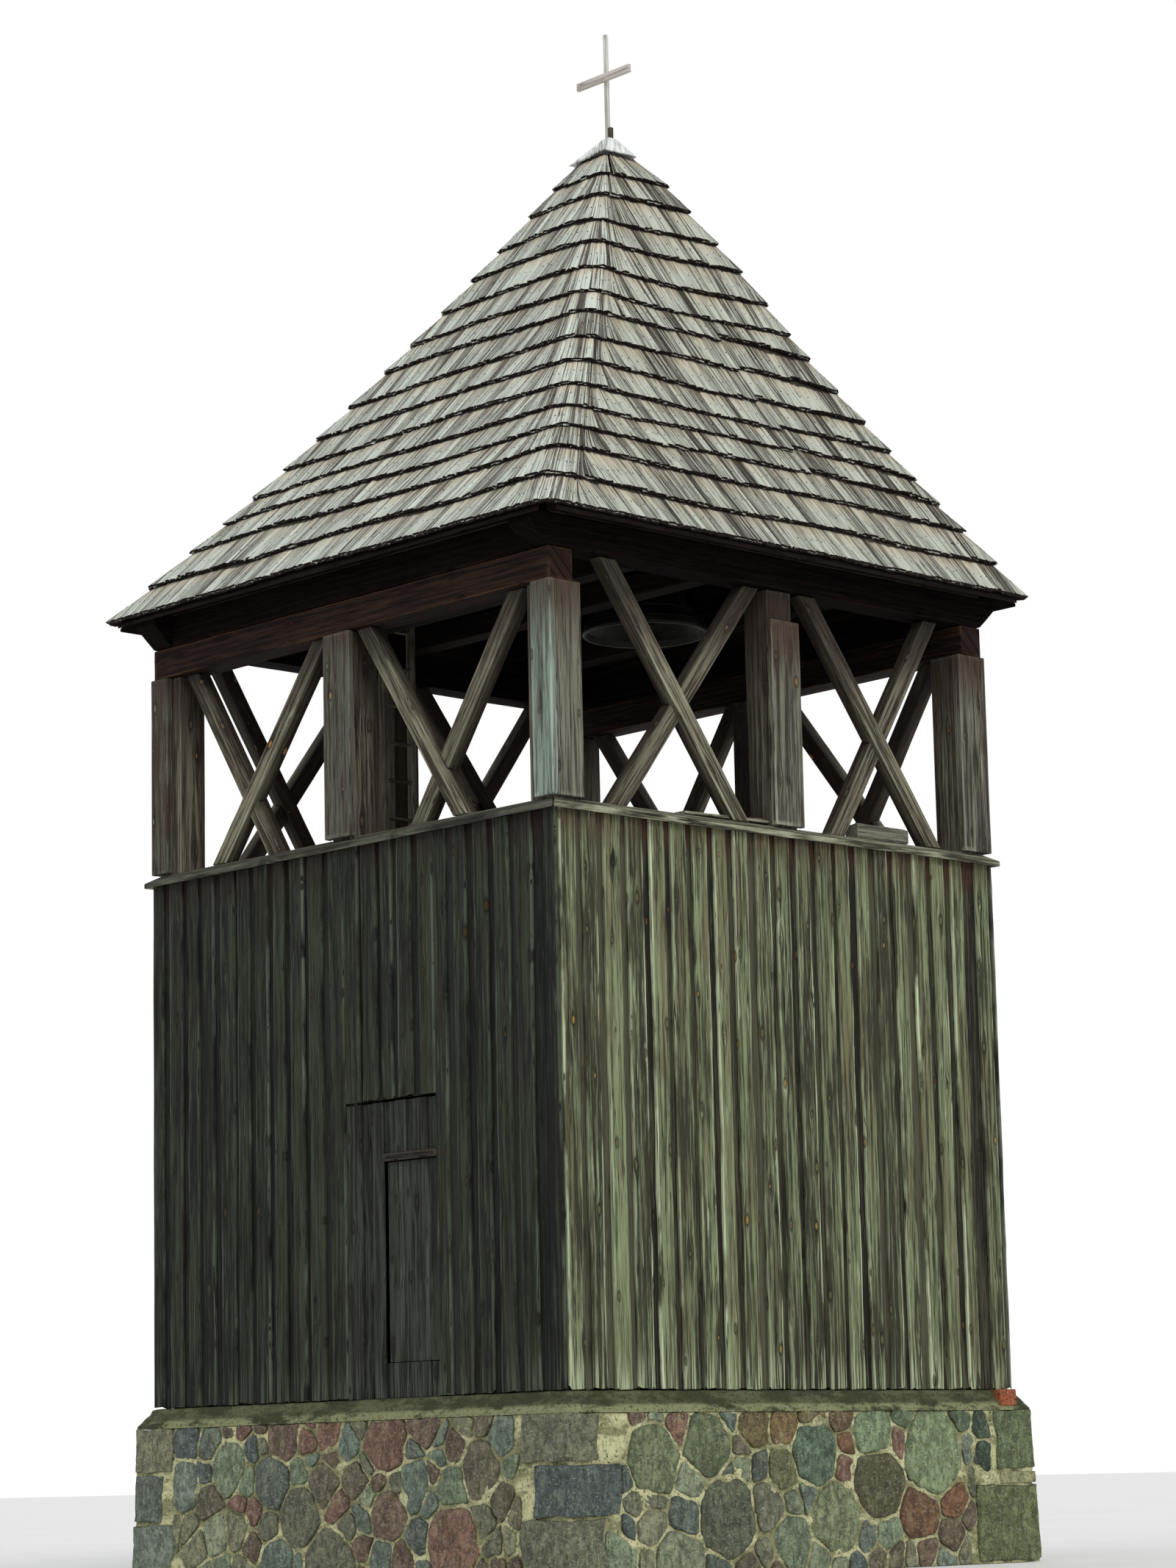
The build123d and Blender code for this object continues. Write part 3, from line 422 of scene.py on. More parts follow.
def weathered_wood(name, pale, dark, brown, streak, contrast=1.0, warm=0.0, show_from=0.35, saw=False,
                   gloss=0.25):
    """Old timber: fibres that bend round knots, checks, warm patches, brown where sheltered, brown painted
    shade inside.
    """
    recipe = Recipe(name)
    grain, look, foot = recipe.carried()
    tone, shelter, edge = recipe.split(look, "Color")
    across, along, knot, pull, ripe, wide = recipe.bent_grain(grain, show_from)

    def fibres(fine, coarse, **settings):
        return recipe.noise(recipe.join(across * fine, along * coarse), **settings)

    fibre = fibres(150, 5, detail=4, roughness=0.7)
    band = fibres(38, 0.9, detail=3, roughness=0.6, distortion=0.25)
    gleam = fibres(58, 2.4, detail=3, roughness=0.6)
    blotch = recipe.cloud(grain, (5, 5, 1.4), detail=4)
    check = recipe.calc("ABSOLUTE", fibres(42, 0.8, detail=2, roughness=0.5) - 0.5)
    check = (1.0 - recipe.remap(check, 0.004, 0.020)) * recipe.remap(blotch, 0.45, 0.58)

    amount = recipe.remap(band, 0.38, 0.62) + (tone - 0.5) + (fibre - 0.5) * (2.4 * contrast)
    amount = amount + (blotch - 0.5) * 0.8 - pull * 0.30
    fresh = pale
    if warm:
        hue = recipe.cloud(grain, (9, 9, 0.8), detail=3, roughness=0.6)
        fresh = recipe.mix(recipe.remap(hue, 0.47, 0.60) * warm, pale, tinted(pale, 0.72, 0.56, 0.56))
    recipe.colour = recipe.mix(recipe.calc("ADD", amount, 0.0, clamp=True), dark, fresh)
    glint = recipe.remap(gleam, 0.57, 0.68) * recipe.remap(blotch, 0.42, 0.56)
    recipe.paint(glint * (0.42 * contrast), streak)
    recipe.paint(edge * recipe.remap(blotch, 0.40, 0.56) * 0.8, streak)
    recipe.paint(foot * recipe.remap(band, 0.46, 0.60) * 0.6, streak)
    # The shelter share is brown under the eave and ledge, and painted shade on timber faces turned to the
    # inside.
    stain_and_shade = shelter * recipe.remap(blotch, 0.2, 0.55, 0.6, 1.0)
    recipe.paint(stain_and_shade, brown)
    recipe.paint(stain_and_shade * recipe.remap(band, 0.4, 0.7), tinted(brown, 0.35))

    height = fibre * 0.6 + band * 0.5
    if show_from < 1:
        size = wide * 0.014 + 0.004
        rim = recipe.remap(knot, size, size * 1.9, 1.0, 0.0)
        heart = recipe.remap(knot, size * 0.5, size, 1.0, 0.0)
        recipe.paint(rim * 0.75, tinted(dark, 0.45))
        is_ripe = recipe.calc("GREATER_THAN", ripe, 0.78)
        amber = recipe.mix(is_ripe, tinted(pale, 0.55, 0.42, 0.35), tinted(pale, 1.45, 0.72, 0.30))
        recipe.paint(heart * 0.9, amber)
        height = height - rim * 0.4
    if saw:
        x, _, z = recipe.split(grain)
        marks = recipe.calc("SINE", z * 430 + x * 520) * recipe.remap(tone, 0.6, 0.65)
        recipe.paint(recipe.remap(marks, 0.1, 0.8, 0.0, 0.7), streak)
        height = height + marks * 0.12
    recipe.paint(check * 0.9, tinted(dark, 0.12))
    roughness = recipe.remap(fibre, 0.2, 0.8, 0.95, 0.78)
    return recipe.finish(roughness, height - check * 1.2, 0.004, Specular_IOR_Level=gloss)


def shingle_wood(name, grey, beige, dark):
    """Split shingles: streaks along the fall, cream where the next course sheltered them, painted shade on
    the butts and a painted shadow just under them.
    """
    recipe = Recipe(name)
    grain, look, butt = recipe.carried()
    tone, cover, nail = recipe.split(look, "Color")
    fibre = recipe.cloud(grain, (230, 230, 5), detail=3, roughness=0.6)
    band = recipe.cloud(grain, (62, 62, 1.1), detail=3, roughness=0.6)
    blotch = recipe.cloud(grain, (9, 9, 5), detail=4)
    warm = recipe.remap(cover, 0.35, 0.92) * recipe.remap(blotch, 0.3, 0.55, 0.3, 1.0)
    recipe.colour = recipe.mix(warm, grey, beige)
    shade = recipe.remap(band, 0.37, 0.60) + (tone - 0.5) * 1.5 + (fibre - 0.48) * 2.4
    recipe.paint(recipe.calc("SUBTRACT", 1.0, shade, clamp=True), dark)
    bright = recipe.remap(band, 0.58, 0.66) * recipe.remap(tone, 0.4, 0.7)
    recipe.paint(bright * 0.7, tuple(min(1.25 * part, 0.9) for part in grey))
    slit = recipe.calc("ABSOLUTE", recipe.cloud(grain, (55, 55, 0.9), detail=1) - 0.5)
    slit = recipe.remap(slit, 0.006, 0.022, 1.0, 0.0) * recipe.remap(blotch, 0.42, 0.55)
    deep = tinted(dark, 0.12)
    recipe.paint(slit * 0.95, deep)
    distance, _, _ = recipe.cells(recipe.stretch(grain, (38, 38, 26)))
    spots = recipe.remap(distance, 0.08, 0.17, 1.0, 0.0) * recipe.remap(blotch, 0.52, 0.62)
    recipe.paint(spots * 0.7, deep)
    # Painted shadow in a thin band under each butt, painted shade on the butt ends and undersides over their
    # dark end grain, and the nail heads' own black.
    shade_and_nail_black = (0.012, 0.006, 0.006)
    recipe.paint(recipe.remap(cover, 0.93, 0.985, 0.0, 0.9), shade_and_nail_black)
    recipe.paint(recipe.remap(butt, 0.25, 0.7), shade_and_nail_black)
    recipe.paint(nail, shade_and_nail_black)
    height = fibre * 0.5 + band * 0.9 - slit
    return recipe.finish(0.88, height, 0.003, Specular_IOR_Level=0.25)


def stone_rock(name):
    """Field stones: the tint comes with each stone, with crystals, veins, lichen, and dirt with painted shade
    at the rims over it.
    """
    recipe = Recipe(name)
    grain, tint, dirt_and_shade = recipe.carried()

    def shaded(*factors):
        return recipe.mix(1.0, tint, factors, "MULTIPLY")

    _, (pale_speck, dark_speck, _), _ = recipe.cells(recipe.stretch(grain, (70, 70, 110)))
    mottle = recipe.cloud(grain, 17, detail=6, roughness=0.68)
    drift = recipe.cloud(grain, (30, 30, 9), detail=4, roughness=0.6, distortion=0.6)
    broad = recipe.cloud(grain, 5, detail=3)
    light = recipe.remap(mottle, 0.34, 0.66)
    recipe.colour = recipe.mix(light, shaded(0.55, 0.54, 0.52), shaded(1.50, 1.46, 1.40))
    # Facets of the broken face: painted light on some and painted shade on others, as planes turned toward
    # and away from the light.
    bent = recipe.node("ShaderNodeVectorMath", operation="ADD")
    recipe.feed(bent.inputs[0], recipe.stretch(grain, (13, 13, 9)))
    recipe.feed(bent.inputs[1], recipe.stretch(recipe.join(mottle, broad, drift), 1.4))
    _, (lit_facet, shaded_facet, _), _ = recipe.cells(bent.outputs[0])
    recipe.paint(recipe.remap(lit_facet, 0.0, 1.0, 0.0, 0.55), shaded(1.25, 1.22, 1.15))
    recipe.paint(recipe.remap(shaded_facet, 0.55, 0.9, 0.0, 0.45), shaded(0.42, 0.42, 0.44))
    recipe.paint(recipe.remap(drift, 0.52, 0.66, 0.0, 0.6), shaded(0.50, 0.50, 0.52))
    recipe.paint(recipe.remap(pale_speck, 0.86, 0.93) * 0.32, recipe.mix(0.5, tint, (0.70, 0.70, 0.58)))
    recipe.paint(recipe.remap(dark_speck, 0.84, 0.92) * 0.55, shaded(0.25, 0.25, 0.26))
    # Dirt and painted shade darken each stone's sunk rim, where it meets the mortar.
    recipe.paint(dirt_and_shade * recipe.remap(mottle, 0.35, 0.6) * 0.8, (0.030, 0.026, 0.015))
    lichen = recipe.remap(broad, 0.54, 0.64) * recipe.remap(mottle, 0.48, 0.6)
    recipe.paint(lichen * 0.3, (0.30, 0.33, 0.17))
    height = mottle + pale_speck * 0.10 + lit_facet * 0.35 - recipe.remap(drift, 0.54, 0.62, 0.0, 0.35)
    return recipe.finish(0.85, height, 0.018, Specular_IOR_Level=0.3)


def old_mortar(name, pale, grey, shade, edge_line=None):
    """Lime mortar: coarse grains, washed patches, painted shade in the hollows, a paler edge under a line."""
    recipe = Recipe(name)
    grain, _, _ = recipe.carried()
    broad = recipe.cloud(grain, (3.2, 3.2, 9.0), detail=5, roughness=0.65)
    fine = recipe.cloud(grain, 45, detail=5, roughness=0.7)
    sand = recipe.cloud(grain, 260, detail=2)
    recipe.colour = recipe.mix(recipe.remap(broad, 0.42, 0.60), grey, pale)
    if edge_line is not None:
        sagging = recipe.split(grain)[2] + fine * -0.05
        low = recipe.remap(sagging, edge_line - 0.035, edge_line - 0.015, 1.0, 0.0)
        recipe.paint(low * recipe.remap(broad, 0.40, 0.55), tinted(pale, 2.2))
    # Dark painted shade in the hollows of the mortar.
    recipe.paint(recipe.remap(fine, 0.50, 0.68), shade)
    recipe.paint(recipe.remap(sand, 0.6, 0.72, 0.0, 0.4), tinted(pale, 1.2))
    return recipe.finish(0.93, fine + sand * 0.25, 0.006, Specular_IOR_Level=0.2)


def rusty_iron(name):
    recipe = Recipe(name)
    where = recipe.node("ShaderNodeTexCoord").outputs["Object"]
    patch = recipe.cloud(where, 30, detail=6, roughness=0.65)
    grit = recipe.cloud(where, 220, detail=3)
    recipe.colour = recipe.mix(recipe.remap(patch, 0.4, 0.6), (0.030, 0.026, 0.024), (0.14, 0.055, 0.025))
    recipe.paint(recipe.remap(grit, 0.5, 0.7, 0.0, 0.5), (0.07, 0.03, 0.016))
    return recipe.finish(recipe.remap(patch, 0.35, 0.65, 0.55, 0.9), grit, 0.0015, Metallic=0.35)


# The bronze is darkened past its patina to near black: painted shade of the belfry.
def bell_bronze(name):
    recipe = Recipe(name)
    where = recipe.node("ShaderNodeTexCoord").outputs["Object"]
    cloud = recipe.cloud(where, (5, 5, 9), detail=5)
    fine = recipe.cloud(where, (70, 70, 40), detail=4)
    recipe.colour = recipe.mix(recipe.remap(cloud, 0.4, 0.62), (0.016, 0.015, 0.013), (0.030, 0.036, 0.029))
    recipe.paint(recipe.remap(fine, 0.55, 0.7), (0.012, 0.010, 0.008))
    return recipe.finish(recipe.remap(cloud, 0.3, 0.7, 0.42, 0.68), fine, 0.001, Metallic=0.6)


BOARD_TINTS = {
    # pale, dark, brown where sheltered (also the colour of the painted shade on inner sides), bright streak,
    # and what sets it apart from other timber
    # The sides' copies differ in brightness: partly the boards' own colour, partly painted shade, most on the
    # front.
    "raised_front": ((0.037, 0.046, 0.027), (0.0065, 0.0075, 0.0055),
                     (0.022, 0.01, 0.007), (0.104, 0.124, 0.088)),
    "raised_right": ((0.222, 0.262, 0.14), (0.033, 0.033, 0.02), (0.085, 0.042, 0.026), (0.56, 0.64, 0.42)),
    "raised_back": ((0.085, 0.096, 0.066), (0.02, 0.021, 0.016), (0.03, 0.014, 0.009), (0.21, 0.235, 0.17)),
    "raised_left": ((0.12, 0.135, 0.088), (0.028, 0.03, 0.02), (0.036, 0.016, 0.01), (0.29, 0.32, 0.22)),
    # The recessed boards are darker than the raised ones: partly their own brown, partly painted shade in the
    # recess between the raised boards.
    "recessed_front": ((0.019, 0.02, 0.018), (0.004, 0.004, 0.004),
                       (0.018, 0.008, 0.006), (0.045, 0.05, 0.042)),
    "recessed_right": ((0.068, 0.066, 0.04), (0.013, 0.011, 0.008), (0.06, 0.026, 0.015), (0.15, 0.15, 0.1)),
    "recessed_back": ((0.034, 0.034, 0.025), (0.007, 0.007, 0.005),
                      (0.028, 0.011, 0.007), (0.07, 0.072, 0.05)),
    "recessed_left": ((0.042, 0.042, 0.029), (0.009, 0.009, 0.006),
                      (0.032, 0.013, 0.008), (0.09, 0.092, 0.062)),
    "casing_front": ((0.25, 0.32, 0.26), (0.038, 0.034, 0.026), (0.055, 0.024, 0.014), (0.42, 0.47, 0.39)),
    "casing_side": ((0.2, 0.2, 0.15), (0.038, 0.032, 0.024), (0.055, 0.024, 0.014), (0.38, 0.39, 0.3)),
    "ledge": ((0.35, 0.355, 0.245), (0.04, 0.037, 0.024), (0.05, 0.026, 0.016), (0.74, 0.75, 0.6)),
    # The ledge's front copy is darker than the side one: partly its own colour, partly painted shade.
    "ledge_front": ((0.1, 0.104, 0.076), (0.022, 0.021, 0.015), (0.05, 0.026, 0.016), (0.26, 0.27, 0.21)),
    "brace": ((0.27, 0.25, 0.175), (0.036, 0.027, 0.019), (0.016, 0.007, 0.005), (0.46, 0.45, 0.33)),
    "frame": ((0.165, 0.148, 0.105), (0.03, 0.022, 0.016), (0.024, 0.01, 0.007), (0.3, 0.28, 0.2)),
    # inner: dark brown timber made near black as painted shade inside the tower.
    "inner": ((0.018, 0.012, 0.009), (0.005, 0.0035, 0.003), (0.03, 0.014, 0.009), (0.032, 0.024, 0.017)),
    "plate": ((0.029, 0.014, 0.01), (0.005, 0.003, 0.0025), (0.06, 0.024, 0.012), (0.11, 0.05, 0.022)),
    # eave_timber: near black, painted shade of the upper plates under the eave.
    "eave_timber": ((0.009, 0.005, 0.0045), (0.0025, 0.0015, 0.0015),
                    (0.02, 0.009, 0.006), (0.016, 0.009, 0.008)),
    "floor": ((0.06, 0.052, 0.038), (0.018, 0.015, 0.011), (0.05, 0.03, 0.02), (0.11, 0.1, 0.075)),
    "door": ((0.046, 0.052, 0.04), (0.009, 0.009, 0.008), (0.022, 0.01, 0.007), (0.095, 0.105, 0.085)),
    "lintel": ((0.034, 0.025, 0.018), (0.01, 0.008, 0.006), (0.03, 0.015, 0.01), (0.07, 0.055, 0.04)),
    # roof_boards: near black, painted shade under the shingles.
    "roof_boards": ((0.011, 0.0075, 0.006), (0.0035, 0.0025, 0.0025),
                    (0.02, 0.01, 0.007), (0.022, 0.016, 0.012)),
    "cap": ((0.84, 0.89, 0.88), (0.56, 0.58, 0.55), (0.2, 0.15, 0.1), (0.92, 0.94, 0.92)),
    "cross": ((0.68, 0.69, 0.62), (0.4, 0.4, 0.33), (0.22, 0.16, 0.11), (0.8, 0.8, 0.74)),
    "cross_bar": ((0.64, 0.59, 0.55), (0.36, 0.31, 0.28), (0.22, 0.16, 0.11), (0.6, 0.54, 0.46)),
}
# What sets some timber apart: weaker or stronger streaks, warm patches, saw marks, gloss, fewer knots
BOARD_SETTINGS = {
    "raised": {"contrast": 1.2, "warm": 0.85},
    "recessed": {"saw": True},
    "inner": {"gloss": 0.1},
    "plate": {"show_from": 0.15, "gloss": 0.12},
    "eave": {"gloss": 0.04},
    "roof": {"gloss": 0.08},
    "cap": {"contrast": 0.5, "show_from": 1.0},
    "cross": {"contrast": 0.6, "show_from": 1.0},
}


def make_materials():
    made = {}
    for key, tints in BOARD_TINTS.items():
        settings = BOARD_SETTINGS.get(key.split("_")[0], {})
        made[key] = weathered_wood(f"{key}_wood", *tints, **settings)
    # The front and back slopes take a lighter copy of the shingles than the right and left: painted light and
    # shade of the slopes.
    made["shingles_front"] = shingle_wood(
        "shingles_front_wood", (0.62, 0.67, 0.60), (0.66, 0.60, 0.46), (0.092, 0.078, 0.062))
    made["shingles_right"] = shingle_wood(
        "shingles_right_wood", (0.52, 0.545, 0.465), (0.56, 0.50, 0.37), (0.044, 0.037, 0.029))
    made["stone"] = stone_rock("field_stone")
    made["brick"] = stone_rock("old_brick")
    made["mortar"] = old_mortar("joint_mortar", (0.60, 0.59, 0.34), (0.25, 0.25, 0.13), (0.045, 0.045, 0.026))
    bed_tints = ((0.110, 0.118, 0.062), (0.046, 0.050, 0.026), (0.024, 0.027, 0.014))
    made["bed"] = old_mortar("bed_mortar", *bed_tints, edge_line=SHOULDER_LINE + 0.055)
    made["iron"] = rusty_iron("rusty_iron")
    made["bell"] = bell_bronze("bell_bronze")
    return made


MATERIALS = make_materials()


# Boards sawn in code

EDGE_SHARES = np.array([-0.5, -0.45, -0.36, 0.0, 0.36, 0.45, 0.5])


def board(heap, rng, place, start, width, length, thick, look, waney=BOARD_WANDER, foot_ragged=0.0):
    """One board: start and width across, its back at the place, its face a thickness out."""
    stations = max(3, ceil(length / BOARD_STEP) + 1)
    along = np.linspace(0, length, stations)
    left = start + wander(rng, along, 0.45, waney) + wander(rng, along, 0.12, waney * 0.35)
    right = start + width + wander(rng, along, 0.45, waney) + wander(rng, along, 0.12, waney * 0.35)
    swell = wander(rng, along, 0.6, 0.0012)
    crown = rng.normal(0, BOARD_CUP)
    round_edge = 0.004 + np.abs(wander(rng, along, 0.3, 0.003))
    rows = []
    for share in EDGE_SHARES:
        across = left + (share + 0.5) * (right - left)
        drop = round_edge if abs(share) == 0.5 else 0.0
        level = thick - 0.003 + np.minimum(swell, 0.003) - abs(crown) * (1 - 4 * share * share) - drop
        rows.append(np.column_stack([across, level + along * 0, along]))
    rows.append(np.column_stack([right, along * 0, along]))
    rows.append(np.column_stack([left, along * 0, along]))
    ring = len(rows)
    local = np.stack(rows, axis=1)
    for end, way, amount in ((0, 1, foot_ragged), (-1, -1, 0.0)):
        shift = np.abs(rng.normal(0, 1, ring)) * amount
        shift[-2:] = shift[[-3, 0]]
        local[end, :, 2] += way * shift
    local = local.reshape(-1, 3)
    edge = np.tile(np.array([1, 1, 0, 0, 0, 1, 1, 1, 1], float), stations)
    points = place.points(local)
    grain = local + somewhere(rng)
    heap.add(points, tube_faces(stations, ring), grain, look(local, points[:, 2], edge))


def wall_look(rng, tone_spread, shelter_share):
    """What a wall board shows: its tone, brown under the ledge, bright edges, a frayed foot."""
    tone = any_tone(rng, tone_spread)
    brights = rng.permutation((rng.uniform(0.5, 1.3), rng.uniform(0.0, 0.5)))

    def look(local, height, edge):
        bright = np.where(local[:, 0] > np.median(local[:, 0]), *brights)
        shelter = shelter_share * smooth(WALL_TOP - SHELTER_DROP, WALL_TOP - 0.02, height)
        foot = FOOT_BLEACH - FOOT_BLEACH * smooth(FOOT + 0.02, FOOT + FOOT_RISE, height)
        return np.column_stack([height * 0 + tone, shelter, edge * bright, foot])

    return look


def board_spans(rng, span):
    """Raised boards across a wall, with the gaps between them."""
    start, end = span
    count = round((end - start) / BOARD_PITCH)
    pitch = (end - start) / count
    spans = []
    for i in range(count):
        width = rng.uniform(*RAISED_WIDTH)
        left = start + i * pitch + rng.uniform(0.0, 0.25) * (pitch - width)
        if i == 0:
            left = start
        if i == count - 1:
            left = end - width
        spans.append((left, width))
    return spans


def clad(name, side, span, foot, node, seed):
    """Two layers of upright boards: the gaps of the raised ones show the layer behind."""
    rng = np.random.default_rng(seed)
    back = WALL_FACE - 2 * BOARD_THICK
    length = WALL_TOP - foot
    spans = board_spans(rng, span)
    raised = Heap()
    outer = Place(side, back + BOARD_THICK, foot)
    for i, (left, width) in enumerate(spans):
        tight = 0.001 if i in (0, len(spans) - 1) else BOARD_WANDER
        look = wall_look(rng, RAISED_TONES, rng.uniform(0.0, 0.6))
        board(raised, rng, outer, left, width, length, BOARD_THICK, look, tight, FOOT_RAGGED)
    raised.piece(f"{name}_raised", MATERIALS[f"raised_{side}"], "wall_boards", [node])
    recessed = Heap()
    inner = Place(side, back, foot)
    for (left, width), (following, _) in zip(spans, spans[1:]):
        start = left + width - BOARD_LAP
        wide = following + BOARD_LAP - start
        look = wall_look(rng, BACK_TONES, 1.0)
        board(recessed, rng, inner, start, wide, length, BOARD_THICK, look, 0.001, FOOT_RAGGED)
    recessed.piece(f"{name}_recessed", MATERIALS[f"recessed_{side}"], "wall_boards")


def build_walls():
    clad("front_left", "front", (-WALL_FACE, DOORWAY[0]), FOOT, "front_wall_left", 11)
    clad("front_right", "front", (DOORWAY[1], WALL_FACE), FOOT, "front_wall_right", 12)
    clad("front_over_door", "front", DOORWAY, DOORWAY_HEAD, "front_wall_over_door", 13)
    clad("back", "back", (-WALL_FACE, WALL_FACE), FOOT, "back_wall", 14)
    clad("right", "right", (-FRAME_FACE, FRAME_FACE), FOOT, "right_wall", 15)
    clad("left", "left", (-FRAME_FACE, FRAME_FACE), FOOT, "left_wall", 16)


# Timbers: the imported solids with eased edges, hewn faces and grain along their length

FLOOR_GAP = 0.006
TONE_SPREAD = 0.12
# Distance between the cuts of a face, and of the end cuts from the ends: along, across and out
FACE_CUTS = ((0.14, 0.04), (0.06, 0.018), (0.06, 0.018))


def islands(node):
    """Each solid of a node as a mesh of its own."""
    whole = bmesh.new()
    whole.from_mesh(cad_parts[node].data)
    bmesh.ops.remove_doubles(whole, verts=whole.verts, dist=1e-5)
    whole.faces.ensure_lookup_table()
    seen = set()
    for start in whole.faces:
        if start.index in seen:
            continue
        seen.add(start.index)
        queue = [start]
        members = []
        while queue:
            face = queue.pop()
            members.append(face)
            for edge in face.edges:
                for other in edge.link_faces:
                    if other.index not in seen:
                        seen.add(other.index)
                        queue.append(other)
        part = bmesh.new()
        copies = {}
        for face in members:
            for vert in face.verts:
                if vert.index not in copies:
                    copies[vert.index] = part.verts.new(vert.co)
            part.faces.new([copies[v.index] for v in face.verts])
        bmesh.ops.recalc_face_normals(part, faces=part.faces)
        bmesh.ops.dissolve_limit(part, angle_limit=radians(0.5), verts=part.verts, edges=part.edges)
        yield part
    whole.free()


def own_axes(part):
    """Across, out and along of a timber: its longest edge and its largest face beside it."""
    longest = max(part.edges, key=lambda e: e.calc_length())
    along = (longest.verts[0].co - longest.verts[1].co).normalized()
    if along.z < -0.1 or (abs(along.z) <= 0.1 and along.x + along.y < 0):
        along = -along
    beside = [f for f in part.faces if abs(f.normal.dot(along)) < 0.2]
    out = max(beside, key=lambda f: f.calc_area()).normal
    out = (out - along * out.dot(along)).normalized()
    return along.cross(out), out, along


def cut(part, axis, at, **settings):
    """Cuts a mesh by a plane across an axis."""
    geom = part.verts[:] + part.edges[:] + part.faces[:]
    bmesh.ops.bisect_plane(part, geom=geom, plane_co=axis * at, plane_no=axis, **settings)


def faces_of(part):
    return [tuple(v.index for v in f.verts) for f in part.faces]


def slice_up(part, axis, step, margin):
    """Cuts the faces across an axis: near both ends, and every step between them."""
    values = [v.co.dot(axis) for v in part.verts]
    low, high = min(values), max(values)
    inner = high - low - 2 * margin
    if inner <= 0:
        return
    count = max(1, round(inner / step))
    for i in range(count + 1):
        cut(part, axis, low + margin + inner * i / count, dist=1e-6)


def planks_of(part, axis, width):
    """A floor cut into its boards."""
    values = [v.co.dot(axis) for v in part.verts]
    low, high = min(values), max(values)
    count = round((high - low) / width)
    for i in range(count):
        strip = part.copy()
        for step, way in ((i, -1), (i + 1, 1)):
            at = low + (high - low) * step / count - way * FLOOR_GAP / 2
            cut(strip, axis * way, at * way, clear_outer=True)
            bmesh.ops.holes_fill(strip, edges=[e for e in strip.edges if e.is_boundary], sides=0)
        yield strip
    part.free()


def dress(node, material, slot, seed, body="tower", ease=0.006, hewn=0.003, shelter=None, tone_by=None,
          planks=None, along=None):
    """A wooden piece over each solid of a node, worn back from its faces by a few millimetres."""
    rng = np.random.default_rng(seed)
    heap = Heap()
    parts = islands(node)
    if planks:
        plank_axis, width = planks
        parts = (strip for part in parts for strip in planks_of(part, Vector(plank_axis), width))
    for part in parts:
        across, out, length = own_axes(part)
        if along is not None:
            length = Vector(along)
            out = Vector((0, 0, 1))
            across = length.cross(out)
        convex = [e for e in part.edges if e.is_manifold and e.is_convex]
        sharp = [e for e in convex if e.calc_face_angle(0) > radians(20)]
        bmesh.ops.bevel(part, geom=sharp, offset=ease, segments=1, affect="EDGES", clamp_overlap=True)
        bmesh.ops.recalc_face_normals(part, faces=part.faces)
        for axis, (step, margin) in zip((length, across, out), FACE_CUTS):
            slice_up(part, axis, step, margin)
        part.verts.ensure_lookup_table()
        part.verts.index_update()
        part.normal_update()
        shift = somewhere(rng)
        points = np.array([v.co for v in part.verts])
        normals = np.array([v.normal for v in part.verts])
        local = points @ np.array([across, out, length]).T
        grain = local + shift
        rim = np.minimum(local - local.min(0), local.max(0) - local)
        edge = ((rim < ease * 1.2).sum(1) >= 2).astype(float)
        rough = np.array([lumps(g[0] * 9, g[1] * 9, g[2] * 2.2) for g in grain])
        fine = np.array([lumps(g[0] * 30, g[1] * 30, g[2] * 5) for g in grain])
        inward = hewn * (0.5 + 0.5 * rough) + 0.3 * hewn * (0.5 + 0.5 * fine)
        points = points - normals * inward[:, None]
        tone = rng.normal(0.5, TONE_SPREAD)
        if tone_by:
            tone += tone_by(points.mean(0))
        look = same_look(points, np.clip(tone, 0, 1), 0.0, 0.0, 0.0)
        look[:, 2] = edge * rng.uniform(0.3, 1.0)
        if shelter:
            look[:, 1] = shelter(points)
        heap.add(points, faces_of(part), grain, look)
        part.free()
    return heap.piece(f"{node}_wood", MATERIALS[material], slot, [node], body)


def brown_above_and_shade_inside(points, share, drop, shallow, deep):
    """Brown by this share under the eave, from this far under the plates, and painted shade this deep inside.
    """
    high = share * smooth(PLATE_FOOT - drop, PLATE_FOOT + 0.05, points[:, 2])
    depth = FRAME_FACE + 0.04 - np.maximum(np.abs(points[:, 0]), np.abs(points[:, 1]))
    return np.maximum(high, 0.92 * smooth(shallow, deep, depth))


def under_eave(points):
    """Brown under the eave, and painted shade on the sides turned to the inside."""
    return brown_above_and_shade_inside(points, 0.8, 0.6, 0.035, 0.15)


def post_cover(points):
    """Brown under the eave, with painted shade only deep inside, so the sides of a post are as light as its
    face.
    """
    return brown_above_and_shade_inside(points, 0.75, 0.9, 0.20, 0.30)


def all_brown(points):
    return np.full(len(points), 0.6)


def at_near_corner(middle):
    return middle[0] > 1.5 and middle[1] < -1.5


def near_corner(middle):
    """The casing at the near corner has bleached, the others stayed dark."""
    return 0.28 if at_near_corner(middle) else -0.32


def casing_cover(points):
    """Brown on the casings away from the near corner."""
    return np.maximum(under_eave(points), 0.0 if at_near_corner(points.mean(0)) else 0.5)


def far_corner(middle):
    """The casing at the far end of the right side stayed dark."""
    return 0.02 if middle[1] < 1.2 else -0.30


